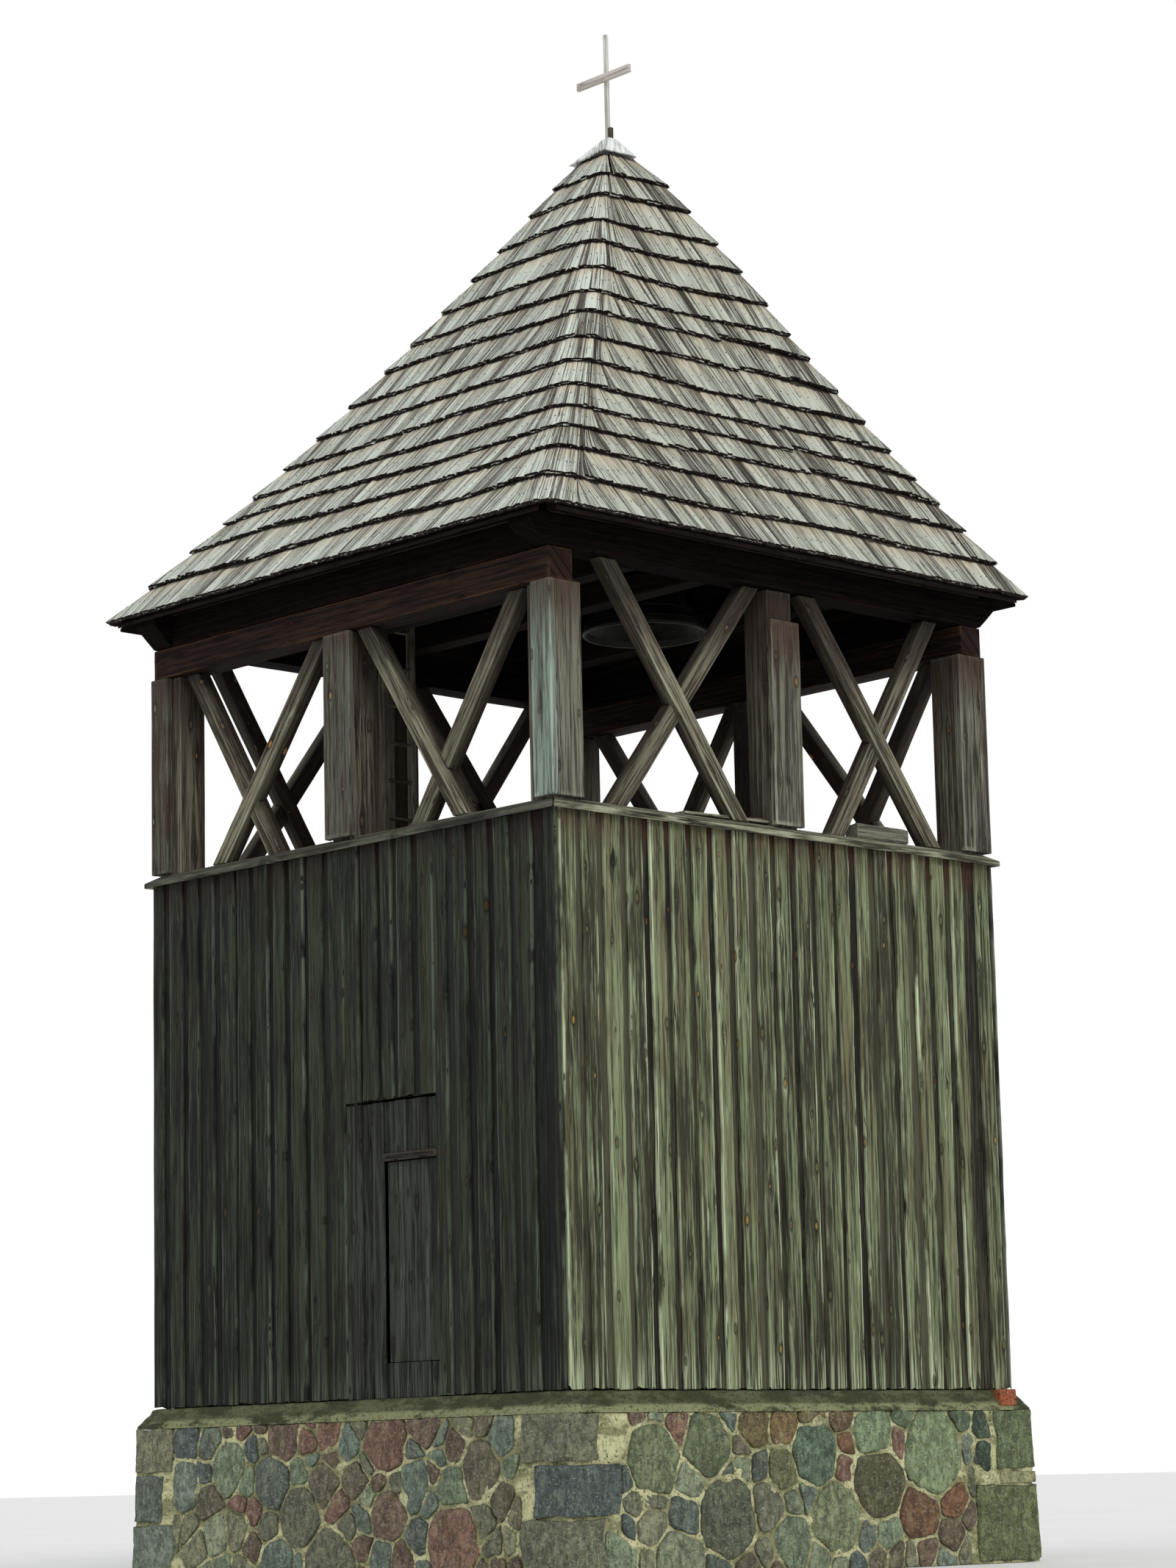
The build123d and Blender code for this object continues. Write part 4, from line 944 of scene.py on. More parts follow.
TIMBERS = (
    # node, material, record slot, wear, and for some: brown places and painted shade inside, tone by place
    ("sills_front_and_back", "inner", "frame_timber", 0.004),
    ("sills_left_and_right", "inner", "frame_timber", 0.004),
    ("corner_posts", "frame", "frame_timber", 0.004, post_cover),
    ("mid_posts", "frame", "frame_timber", 0.009, post_cover),
    ("belfry_rails", "frame", "frame_timber", 0.004, under_eave),
    ("lower_plates", "plate", "frame_timber", 0.006),
    ("upper_plates", "eave_timber", "frame_timber", 0.006),
    ("tie_beams", "inner", "frame_timber", 0.004),
    ("pole_plates", "inner", "frame_timber", 0.004),
    ("outer_braces", "brace", "frame_timber", 0.004, under_eave),
    ("inner_braces", "brace", "frame_timber", 0.004, under_eave),
    ("floor_joists", "inner", "frame_timber", 0.004),
    ("door_frame", "inner", "frame_timber", 0.003),
    ("roof_mast", "inner", "frame_timber", 0.003),
    ("common_rafters", "inner", "frame_timber", 0.004),
    ("hip_rafters", "inner", "frame_timber", 0.004),
    ("bell_trestles", "inner", "frame_timber", 0.003),
    ("ladder_rails", "frame", "frame_timber", 0.002),
    ("ladder_rungs", "frame", "frame_timber", 0.001),
    ("post_casings_front_and_back", "casing_front", "casing_boards", 0.004, casing_cover, near_corner),
    ("post_casings_left_and_right", "casing_side", "casing_boards", 0.004, under_eave, far_corner),
    ("drip_ledges_front_and_back", "ledge_front", "casing_boards", 0.008),
    ("drip_ledges_left_and_right", "ledge", "casing_boards", 0.008),
    ("cross_upright", "cross", "cross_timber", 0.001),
    ("cross_bar", "cross_bar", "cross_timber", 0.001),
    ("mast_end", "frame", "frame_timber", 0.002, all_brown),
    ("door_lintel", "lintel", "door_boards", 0.003),
)
SMALL_EDGES = ("ladder_rungs", "cross_upright", "cross_bar", "mast_end", "ladder_rails")


def dress_timbers():
    for i, (node, material, slot, hewn, *shades) in enumerate(TIMBERS):
        ease = 0.002 if node in SMALL_EDGES else 0.007
        dress(node, material, slot, 40 + i, "tower", ease, hewn, *shades)
    for loose in LOOSE_PIECES:
        loose_piece(*loose)
    dress("headstock", "inner", "frame_timber", 70, "bell")
    dress("ground_floor", "floor", "floor_boards", 71, planks=((1, 0, 0), 0.2), along=(0, 1, 0))
    dress("belfry_floor", "floor", "floor_boards", 72, planks=((0, 1, 0), 0.19), along=(1, 0, 0))


# Loose wood on the rail and a brick under the far corner: start, end, width, thickness, material, slot
LOOSE_PIECES = (
    ("loose_board_long", (2.12, -0.92, 5.268), (2.10, 0.02, 5.285), 0.11, 0.022, "ledge", "floor_boards"),
    ("loose_board_short", (2.08, -0.36, 5.285), (2.06, 0.22, 5.330), 0.10, 0.020, "frame", "floor_boards"),
    ("loose_timber", (2.09, 0.88, 5.31), (2.12, 1.40, 5.305), 0.13, 0.11, "casing_side", "frame_timber"),
    ("corner_brick", (2.265, 2.02, 1.182), (2.265, 2.20, 1.182), 0.13, 0.128, "brick", "stone"),
)


# Outline of a worn length of wood, as shares of its width and thickness
WORN_RING = (
    (-0.5, -0.4), (-0.42, -0.5), (0, -0.48), (0.42, -0.5), (0.5, -0.4), (0.5, 0.4), (0.42, 0.5), (0, 0.47),
    (-0.42, 0.5), (-0.5, 0.4))


def loose_piece(name, start, end, width, thick, material, slot):
    """A worn length of wood or brick that lies level, from one end to the other."""
    rng = np.random.default_rng(len(name))
    start, end = np.array(start), np.array(end)
    length = np.linalg.norm(end - start)
    along = (end - start) / length
    across = np.cross(along, (0.0, 0.0, 1.0))
    across /= np.linalg.norm(across)
    up = np.cross(across, along)
    stations = max(6, ceil(length / 0.05))
    places = np.linspace(0, length, stations)
    lean = wander(rng, places, 0.4, 0.05 * thick)
    points = []
    grain = []
    for place, shift in zip(places, lean):
        for x, y in WORN_RING:
            wear = 1 - 0.05 * abs(rng.normal())
            wide, high = width * x * wear, thick * y * wear + shift
            points.append(start + along * place + across * wide + up * high)
            grain.append((wide, high, place))
    faces = tube_faces(stations, len(WORN_RING), inside_out=True)
    look = same_look(points, *((0.30, 0.085, 0.035, 0.0) if material == "brick" else (0.55, 0.0, 0.2, 0.0)))
    heap = Heap()
    heap.add(np.array(points), faces, np.array(grain) + somewhere(rng), look)
    heap.piece(name, MATERIALS[material], slot)


# Roof

def sweep_rise(climb):
    """Rise of the shingles over the eave, this far in from it."""
    share = climb / EAVE_REACH
    return SWEEP_RISE * (SWEEP_SHARE * share + (1 - SWEEP_SHARE) * share**2)


def reach_at(rise):
    """How far out the shingles are, this high over the eave."""
    bend = 1 - SWEEP_SHARE
    share = (np.sqrt(SWEEP_SHARE**2 + 4 * bend * rise / SWEEP_RISE) - SWEEP_SHARE) / (2 * bend)
    return EAVE_REACH * (1 - share)


def slope_at(rise):
    """Steepness of the shingles there: rise over run."""
    share = 1 - reach_at(rise) / EAVE_REACH
    return SWEEP_RISE / EAVE_REACH * (SWEEP_SHARE + 2 * (1 - SWEEP_SHARE) * share)


def slope_normal(heading, rise):
    """Outward directions of the shingles, for their headings in plan and their rises."""
    steep = slope_at(rise)
    tilt = np.sqrt(1 + steep**2)
    return np.column_stack([heading * (steep / tilt)[:, None], 1 / tilt])


def hip_radius(side, reach):
    """Roundness of the hip where this side meets the next one."""
    return np.minimum(HIP_RADIUS[side], 0.02 + 0.18 * reach)


def side_before(side):
    return SIDES[SIDES.index(side) - 1]


def side_after(side):
    return SIDES[(SIDES.index(side) + 1) % 4]


class Course:
    """One course of shingles, measured along each side from its near hip and round its far one."""

    def __init__(self, rise):
        self.rise = rise
        self.reach = float(reach_at(rise))

    def flat(self, side):
        """The two ends of the straight stretch, from the middle of the side."""
        return (
            float(hip_radius(side_before(side), self.reach)) - self.reach,
            self.reach - float(hip_radius(side, self.reach)),
        )

    def side_length(self, side):
        start, end = self.flat(side)
        return end - start + float(hip_radius(side, self.reach)) * pi / 2

    def line(self, side, at, rise):
        """Points up one edge of a shingle on this side: in plan and its outward direction."""
        if at > self.side_length(side):
            at -= self.side_length(side)
            side = side_after(side)
        at = max(at, 0.0)
        out, along = (way[:2] for way in side_ways(side))
        reach = reach_at(rise)
        share = 1 - reach / EAVE_REACH
        centre = share[:, None] * np.array(APEX_SHIFT)
        radius = hip_radius(side, reach)
        low, high = self.flat(side)
        lows = hip_radius(side_before(side), reach) - reach
        highs = reach - radius
        if at <= high - low:
            start = low + at
            drift = np.dot(APEX_SHIFT, along)
            straight = np.clip(start + (1 - self.reach / EAVE_REACH - share) * drift, lows, highs)
            end, ends, hip = (high, highs, side) if start > 0 else (low, lows, side_before(side))
            fan = 0.0
            if hip == FANNED_HIP:
                fan = float(smooth(max(abs(end) - FAN_REACH, 0.3 * abs(end)), abs(end), abs(start)))
            local = (1 - fan) * straight + fan * start * ends / end
            plan = centre + local[:, None] * along + reach[:, None] * out
            heading = np.tile(out, (len(rise), 1))
        else:
            angle = (at - high + low) / float(hip_radius(side, self.reach))
            way = out * cos(angle) + along * sin(angle)
            plan = centre + highs[:, None] * (along + out) + radius[:, None] * way
            heading = np.tile(way, (len(rise), 1))
        return plan + self.swell(side, at, rise), heading

    def swell(self, side, at, rise):
        """How far the hip between right and back stands out here, in plan."""
        if side == "right":
            away = self.side_length(side) - at
        elif side == "back":
            away = at
        else:
            return 0.0
        near = 1 - float(smooth(0.0, HIP_SWELL_REACH, away))
        size = near * np.interp(rise, HIP_SWELL_RISES, HIP_SWELL)
        return size[:, None] * np.array((1.0, 1.0)) / sqrt(2)


def butt_lift(side, index, at):
    """How far over its line a stretch of a course was laid."""
    number = SIDES.index(side)
    lift = 0.055 * lumps(at * 0.6 + 13 * number, index * 0.4, 4.2)
    lift += 0.016 * lumps(at * 2.6, index * 3.1 + 17 * number, 9.7)
    if side == "right" and SEAM_COURSES[0] <= index <= SEAM_COURSES[1]:
        seam = SEAM_START + SEAM_STEP * (index - SEAM_COURSES[0])
        if at > seam:
            lift += SEAM_LIFT
    length = Course(BUTT_LINES[min(index, len(BUTT_LINES) - 1)]).side_length(side)
    return lift * float(smooth(-0.05, 0.5, at) * smooth(-0.05, 0.5, length - at))


def shingle(heap, rng, course, side, at, width, rises, sink, tone, butt_thick, nailed):
    """One split shingle from its butt up under the next course.

    rises: of its butt, of the next butts, and of its tip; sink: how deep its butt and tip lie."""
    rows = 4
    run = np.linspace(0, 1, rows)
    butt_rise, next_rise, tip_rise = rises
    length = tip_rise - butt_rise
    slack = rng.uniform(0.0008, 0.003)
    twist = rng.normal(0, 0.0016)
    shares = (0.0, 0.5, 1.0)
    tops = []
    bottoms = []
    for share in shares:
        place = at + slack + share * (width - 2 * slack)
        rise = butt_rise + rng.normal(0, 0.004) + run * length
        rise = np.maximum(rise, course.rise - 0.03 if course.rise > 0 else 0.0)
        cover = (rise - butt_rise) / (next_rise - butt_rise)
        plan, heading = course.line(side, place, rise)
        normal = slope_normal(heading, rise)
        surface = np.column_stack([plan, EAVE_LINE + rise])
        depth = sink[0] + (sink[1] - sink[0]) * run + twist * (share - 0.5) * 2
        thick = butt_thick + (TIP_THICK - butt_thick) * run
        tops.append(surface - normal * depth[:, None])
        bottoms.append(surface - normal * (depth + thick)[:, None])
    columns = tops + bottoms
    points = columns + [column[:1] for column in columns]
    level = np.zeros(rows)
    grain = []
    look = []
    # The look's last number is painted shade: part on the under layer, full on the butt ends.
    for k in range(6):
        under = k > 2
        grain.append(np.column_stack([level + shares[k % 3] * width, level - 0.01 * under, run * length]))
        look.append(np.column_stack([level + tone, cover, level, level + 0.9 * under]))
    for k in range(6):
        grain.append(grain[k][:1])
        look.append(np.array([[tone, 0.0, 0.0, 1.0]]))
    faces = []
    for i in range(rows - 1):
        for j in (0, 1):
            a, b = j * rows + i, (j + 1) * rows + i
            faces.append((a, b, b + 1, a + 1))
            c, d = (3 + j) * rows + i, (4 + j) * rows + i
            faces.append((c, c + 1, d + 1, d))
        faces.append((i, i + 1, 3 * rows + i + 1, 3 * rows + i))
        faces.append((2 * rows + i, 5 * rows + i, 5 * rows + i + 1, 2 * rows + i + 1))
    butt = 6 * rows
    for j in (0, 1):
        faces.append((butt + j, butt + 3 + j, butt + 4 + j, butt + j + 1))
        faces.append(tuple((column + 1) * rows - 1 for column in (j, j + 1, j + 4, j + 3)))
    grain = np.concatenate(grain) + somewhere(rng)
    heap.add(np.concatenate(points), faces, grain, np.concatenate(look))
    if nailed:
        share = rng.uniform(0.28, 0.4)
        depth = sink[0] + (sink[1] - sink[0]) * share
        drive_nail(heap, rng, course, side, at + width / 2, butt_rise + length * share, depth)


def drive_nail(heap, rng, course, side, at, rise, depth):
    """The dark head of a nail, standing a little proud of its shingle."""
    rises = np.array([rise])
    plan, heading = course.line(side, at, rises)
    normal = slope_normal(heading, rises)[0]
    centre = np.array([*plan[0], EAVE_LINE + rise]) - normal * depth
    flat = np.array([-heading[0][1], heading[0][0], 0.0])
    up = np.cross(normal, flat)
    radius = rng.uniform(0.0045, 0.007)
    sides = 5
    ring = [centre + radius * (x * flat + y * up) for x, y in turns(sides)]
    points = np.array([p + normal * lift for lift in (-0.003, 0.0015) for p in ring])
    grain = points * 0 + somewhere(rng)
    heap.add(points, tube_faces(2, sides), grain, same_look(points, 0.2, 0.0, 1.0, 0.0))


def shingle_slope(side, seed):
    """Two layers of shingles in every course, butts flush."""
    rng = np.random.default_rng(seed)
    heap = Heap()
    head = ROOF_HEAD - EAVE_LINE
    spread = 0.27 if side in ("right", "left") else 0.19
    for index, rise in enumerate(BUTT_LINES):
        course = Course(rise)
        side_length = course.side_length(side)
        last = index == len(BUTT_LINES) - 1
        steep = float(slope_at(np.array([rise]))[0])
        tuck = SHINGLE_TUCK * steep / sqrt(1 + steep**2)
        for layer in (1, 0):
            at = 0.0
            first = rng.uniform(0.02, 0.06) if layer == 0 else None
            while at < side_length - 0.012:
                width = min(first or rng.uniform(*SHINGLE_WIDTH), side_length - at)
                first = None
                if side_length - at - width < 0.02:
                    width = side_length - at
                middle = at + width / 2
                butt_rise = rise + butt_lift(side, index, middle) + rng.normal(0, 0.005) + 0.003 * layer
                next_rise = head - 0.02
                if not last:
                    next_rise = BUTT_LINES[index + 1] + butt_lift(side, index + 1, middle)
                if rise == 0:
                    butt_rise = abs(butt_rise) * 0.6
                tip_rise = min(next_rise + tuck, head)
                tone = any_tone(rng, spread, 0.55)
                thick = BUTT_THICK * rng.uniform(0.85, 1.1)
                face = EAVE_SINK if rise == 0 else BUTT_SINK
                if layer == 0:
                    sink = (face, BUTT_SINK + SHINGLE_LIE)
                else:
                    sink = (face + BUTT_THICK, BUTT_SINK + SHINGLE_LIE + TIP_THICK)
                rises = (butt_rise, next_rise, tip_rise)
                shingle(heap, rng, course, side, at, width, rises, sink, tone, thick, layer == 0)
                at += width
    colour = "shingles_right" if side in ("right", "left") else "shingles_front"
    heap.piece(f"shingles_{side}", MATERIALS[colour], "shingles", [f"roof_{side}"])


def board_slope(side, seed):
    """Boards under the shingles, mitred at the hips."""
    rng = np.random.default_rng(seed)
    heap = Heap()
    out, along = (way[:2] for way in side_ways(side))
    climb_end = EAVE_REACH - float(reach_at(np.array([ROOF_HEAD - EAVE_LINE]))[0])
    climb = 0.045
    while climb < climb_end - 0.03:
        high = min(climb + ROOF_BOARD_WIDTH * rng.uniform(0.85, 1.12), climb_end)
        edges = (climb, high - 0.006)
        half_low = EAVE_REACH - edges[0]
        stations = max(2, ceil(2 * half_low / 0.3) + 1)
        shares = np.linspace(-1, 1, stations)
        rows = []
        for depth in (ROOF_PLUMB_DEPTH - 0.026, ROOF_PLUMB_DEPTH - 0.001):
            for at in edges:
                half = EAVE_REACH - at
                share = at / EAVE_REACH
                centre = share * np.array(APEX_SHIFT)
                plan = centre + shares[:, None] * (half - min(HIP_OPENING, 0.4 * half)) * along + half * out
                level = EAVE_LINE + sweep_rise(at) - depth
                sag = wander(rng, shares * half, 0.8, 0.002) if depth < 0.1 else shares * 0
                rows.append(np.column_stack([plan, level + shares * 0 - np.abs(sag)]))
        order = (rows[0], rows[1], rows[3], rows[2])
        points = np.stack(order, axis=1).reshape(-1, 3)
        width = (edges[1] - edges[0]) * 1.7
        section = np.array([(0, 0), (width, 0), (width, -0.025), (0, -0.025)])
        grain = np.column_stack([np.tile(section, (stations, 1)), np.repeat(shares * half_low, 4)])
        look = same_look(points, any_tone(rng, BACK_TONES), 0.2, 0.0, 0.0)
        heap.add(points, tube_faces(stations, 4, inside_out=True), grain + somewhere(rng), look)
        climb = high
    heap.piece(f"roof_boards_{side}", MATERIALS["roof_boards"], "shingles")


def cap_corner(way, rise, out):
    """A corner of the cap, this far out from the slopes."""
    reach = float(reach_at(rise))
    share = 1 - reach / EAVE_REACH
    x, y = (share * shift + sign * (reach + out) for shift, sign in zip(APEX_SHIFT, way))
    return np.array((x, y, EAVE_LINE + rise))


def build_cap():
    """Pale boards that meet over the head of the shingles."""
    rng = np.random.default_rng(95)
    heap = Heap()
    for way, following in zip(CAP_CORNERS, CAP_CORNERS[1:] + CAP_CORNERS[:1]):
        rows = []
        for lap in (CAP_LAP, CAP_LAP - CAP_THICK):
            feet = [cap_corner(w[:2], w[2], lap) for w in (way, following)]
            top = np.array((*APEX_SHIFT, APEX_LINE - CAP_THICK * (lap < CAP_LAP)))
            tops = [top + 0.035 * np.array((*w[:2], 0.0)) for w in (way, following)]
            rows.append((feet, tops))
        stations = 9
        for share_from, share_to in zip(CAP_JOINTS, CAP_JOINTS[1:]):
            shares = np.linspace(share_from + 0.006, share_to - 0.006, stations)
            trim = wander(rng, shares, 0.12, 0.006) + rng.normal(0, 0.006)
            points = []
            for feet, tops in rows:
                for t in np.linspace(0, 1, 5):
                    for share, short in zip(shares, trim):
                        foot = feet[0] + (feet[1] - feet[0]) * share
                        high = tops[0] + (tops[1] - tops[0]) * share
                        points.append(foot + (high - foot) * (t + short * 4 * (1 - t)))
            points = np.array(points)
            count = len(points) // 2
            faces = []
            for i in range(4):
                for j in range(stations - 1):
                    a = i * stations + j
                    faces.append((a, a + 1, a + 1 + stations, a + stations))
                    b = a + count
                    faces.append((b, b + stations, b + 1 + stations, b + 1))
            rim = list(range(stations))
            rim += [i * stations + stations - 1 for i in range(1, 5)]
            rim += [4 * stations + j for j in range(stations - 2, -1, -1)]
            rim += [i * stations for i in range(3, 0, -1)]
            for a, b in zip(rim, rim[1:] + rim[:1]):
                faces.append((a, a + count, b + count, b))
            look = same_look(points, rng.uniform(0.5, 1.0), 0, 0, 0)
            grain = points[:, [1, 0, 2]] if abs(way[0] - following[0]) < 1 else points
            heap.add(points, faces, grain + somewhere(rng), look)
    heap.piece("roof_cap_boards", MATERIALS["cap"], "cap_boards", ["roof_cap"])


def build_roof():
    for i, side in enumerate(SIDES):
        shingle_slope(side, 80 + i)
        board_slope(side, 90 + i)
    build_cap()


# Door: fixed boarding, and the small leaf in it

# From where to where the raised boards of the boarding reach, and the gap round the leaf
DOOR_RAISED = ((0.0, 0.16), (0.29, 0.40), (0.53, 0.64), (0.74, 0.87))
DOOR_GAP = 0.006
DOOR_BOARD = 0.12
DOOR_BOARDS = 8
LEAF_BOARDS = 4


def build_door():
    rng = np.random.default_rng(101)
    low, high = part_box("door_boarding")
    leaf_low, leaf_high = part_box("door_leaf")
    gap_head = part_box("door_lintel")[1].z
    back = -high.y
    heap = Heap()
    thin = (high.y - low.y) / 2
    starts = np.linspace(low.x, high.x - DOOR_BOARD, DOOR_BOARDS)
    layers = ((back, [(at, at + DOOR_BOARD - 0.001) for at in starts]), (back + thin, DOOR_RAISED))
    gap_left = leaf_low.x - DOOR_GAP
    for depth, spans in layers:
        for left, right in spans:
            left, right = left + 0.001, right - 0.001
            stretches = ((low.z, high.z),)
            if right > gap_left:
                stretches = ((low.z, leaf_low.z - DOOR_GAP), (gap_head, high.z))
            for foot, top in stretches:
                place = Place("front", depth, foot)
                look = wall_look(rng, BACK_TONES, 0.0)
                board(heap, rng, place, left, right - left, top - foot, thin, look, 0.001)
    heap.piece("door_boarding_boards", MATERIALS["door"], "wall_boards", ["door_boarding"])
    leaf = Heap()
    _, thick, tall = leaf_high - leaf_low
    place = Place("front", -leaf_high.y, leaf_low.z)
    edges = np.linspace(leaf_low.x, leaf_high.x, LEAF_BOARDS + 1)
    for left, right in zip(edges, edges[1:]):
        look = wall_look(rng, BACK_TONES, 0.0)
        board(leaf, rng, place, left + 0.0015, right - left - 0.003, tall, thick, look, 0.0005)
    leaf.piece("door_leaf_boards", MATERIALS["door"], "door_boards", ["door_leaf"], "door")


# Stonework

STONE_TINTS = (
    (0.19, 0.245, 0.165), (0.145, 0.19, 0.155), (0.095, 0.12, 0.115), (0.23, 0.275, 0.185),
    (0.155, 0.165, 0.115), (0.2, 0.205, 0.135), (0.125, 0.155, 0.13), (0.175, 0.215, 0.175),
    (0.13, 0.105, 0.075), (0.15, 0.135, 0.095), (0.205, 0.125, 0.095), (0.165, 0.12, 0.09),
)
# The tints of the squared stones at the corners, without the reds
QUOIN_TINTS = STONE_TINTS[:8]
# Stones of the right face that stand out: along the face, height, size, tint
CHOSEN_STONES = (
    (1.26, 0.8, 0.31, (0.205, 0.27, 0.15)),
    (0.63, 0.93, 0.2, (0.18, 0.245, 0.145)),
    (0.03, 0.8, 0.22, (0.108, 0.16, 0.112)),
    (0.66, 0.6, 0.26, (0.092, 0.088, 0.05)),
    (1.08, 0.38, 0.18, (0.16, 0.092, 0.052)),
    (1.46, 0.46, 0.13, (0.19, 0.1, 0.056)),
    (-0.58, 1.02, 0.15, (0.16, 0.13, 0.062)),
    (-0.28, 0.99, 0.1, (0.17, 0.12, 0.06)),
    (0.02, 1.06, 0.07, (0.15, 0.115, 0.06)),
    (0.36, 0.87, 0.08, (0.17, 0.095, 0.055)),
    (0.33, 1.05, 0.08, (0.15, 0.11, 0.065)),
    (0.96, 1.05, 0.08, (0.12, 0.16, 0.1)),
    (1.56, 1.04, 0.1, (0.105, 0.15, 0.095)),
    (1.79, 0.98, 0.09, (0.06, 0.092, 0.062)),
    (1.78, 0.78, 0.1, (0.056, 0.085, 0.06)),
    (1.70, 0.6, 0.09, (0.12, 0.13, 0.08)),
    (-0.3, 0.7, 0.14, (0.13, 0.13, 0.07)),
    (-1.02, 0.88, 0.22, (0.13, 0.165, 0.095)),
    (-1.55, 0.8, 0.24, (0.185, 0.23, 0.13)),
    (0.22, 0.36, 0.25, (0.19, 0.225, 0.13)),
    (-0.85, 0.4, 0.27, (0.11, 0.125, 0.085)),
)
# Squared stones at the corners: foot, top, and how far they reach along the two faces
QUOINS = ((0.0, 0.40, 0.46, 0.34), (0.425, 0.76, 0.32, 0.50), (0.785, SHOULDER_LINE, 0.44, 0.30))
FAR_QUOINS = ((0.02, 0.56, 0.42, 0.66), (0.575, 0.655, 0.36, 0.38), (0.68, SHOULDER_LINE, 0.34, 0.40))
FAR_QUOIN_TINTS = ((0.135, 0.165, 0.078), (0.33, 0.33, 0.19), (0.128, 0.168, 0.086))
QUOIN_BEVEL = 0.022
# Sizes of the other stones, how closely they are packed, and from which try on only small ones fit
STONE_SIZES = (0.08, 0.12, 0.18, 0.24, 0.29)
STONE_PACKING = 0.86
STONE_TRIES = 900
SMALL_FROM = 500
SMALL_SIZE = 0.10
NEIGHBOUR_REACH = 1.3


def clip_polygon(polygon, normal, limit):
    """The part of a polygon where the product with the normal is under the limit."""
    kept = []
    for i, here in enumerate(polygon):
        before = polygon[i - 1]
        inside_here = np.dot(here, normal) <= limit
        inside_before = np.dot(before, normal) <= limit
        if inside_here != inside_before:
            share = (limit - np.dot(before, normal)) / np.dot(here - before, normal)
            kept.append(before + share * (here - before))
        if inside_here:
            kept.append(here)
    return kept


def rounded(polygon, cuts=(0.11, 0.22)):
    """The outline with its corners knocked off."""
    for share in cuts:
        trimmed = []
        for i, here in enumerate(polygon):
            following = polygon[(i + 1) % len(polygon)]
            trimmed.append((1 - share) * here + share * following)
            trimmed.append(share * here + (1 - share) * following)
        polygon = trimmed
    return polygon


def clear_of_blocks(polygon, middle, blocks):
    """The cell cut back from the squared stones at the ends of its face."""
    for low, high, foot, top in blocks:
        heights = [point[1] for point in polygon]
        reaches = [point[0] for point in polygon]
        if max(heights) < foot or min(heights) > top or max(reaches) < low or min(reaches) > high:
            continue
        if middle[0] < low:
            polygon = clip_polygon(polygon, np.array((1.0, 0.0)), low - STONE_JOINT)
        elif middle[0] > high:
            polygon = clip_polygon(polygon, np.array((-1.0, 0.0)), -high - STONE_JOINT)
        else:
            return []
        if len(polygon) < 3:
            return []
    return polygon


def stone_cells(rng, chosen, blocks):
    """Outlines of the stones of one face: cells round chosen and random middles."""
    half = PLINTH_TOP_FACE - 0.30
    seeds = [(x, z, size) for x, z, size, _ in chosen]
    tints = [tint for *_, tint in chosen]
    for attempt in range(STONE_TRIES):
        x = rng.uniform(-half, half)
        z = rng.uniform(0.0, SHOULDER_LINE)
        size = rng.choice(STONE_SIZES) * (1 - 0.25 * z)
        if attempt >= SMALL_FROM:
            size = min(size, SMALL_SIZE)
        if all(hypot(x - a, z - b) > STONE_PACKING * (size + other) for a, b, other in seeds):
            seeds.append((x, z, size))
            tints.append(STONE_TINTS[rng.integers(len(STONE_TINTS))])
    corners = ((-half, 0.0), (half, 0.0), (half, SHOULDER_LINE), (-half, SHOULDER_LINE))
    box = [np.array(corner) for corner in corners]
    cells = []
    for i, (x, z, size) in enumerate(seeds):
        middle = np.array((x, z))
        polygon = box
        for j, (a, b, other) in enumerate(seeds):
            gap = np.array((a, b)) - middle
            span = np.hypot(*gap)
            if i == j or span > NEIGHBOUR_REACH:
                continue
            normal = gap / span
            balance = (span**2 + size**2 - other**2) / (2 * span)
            polygon = clip_polygon(polygon, normal, np.dot(middle, normal) + balance - STONE_JOINT)
            if len(polygon) < 3:
                break
        if len(polygon) >= 3:
            polygon = clear_of_blocks(polygon, middle, blocks)
        if len(polygon) >= 3:
            cells.append((polygon, tints[i]))
    return cells


def outline_points(polygon, spacing):
    """The outline at even distances."""
    loop = np.array(polygon + [polygon[0]])
    steps = np.hypot(*np.diff(loop, axis=0).T)
    total = steps.sum()
    count = max(10, int(total / spacing))
    at = np.linspace(0, total, count, endpoint=False)
    along = np.concatenate([[0], np.cumsum(steps)])
    return np.column_stack([np.interp(at, along, loop[:, k]) for k in (0, 1)])


# Rings of a stone from its sunk rim to its middle: share of the outline, level, dirt and painted shade
STONE_RINGS = (
    (1.0, -0.034, 1.0), (0.99, -0.015, 0.8), (0.955, -0.007, 0.3), (0.88, -0.003, 0), (0.72, -0.001, 0),
    (0.50, 0.0, 0), (0.26, 0.0, 0))


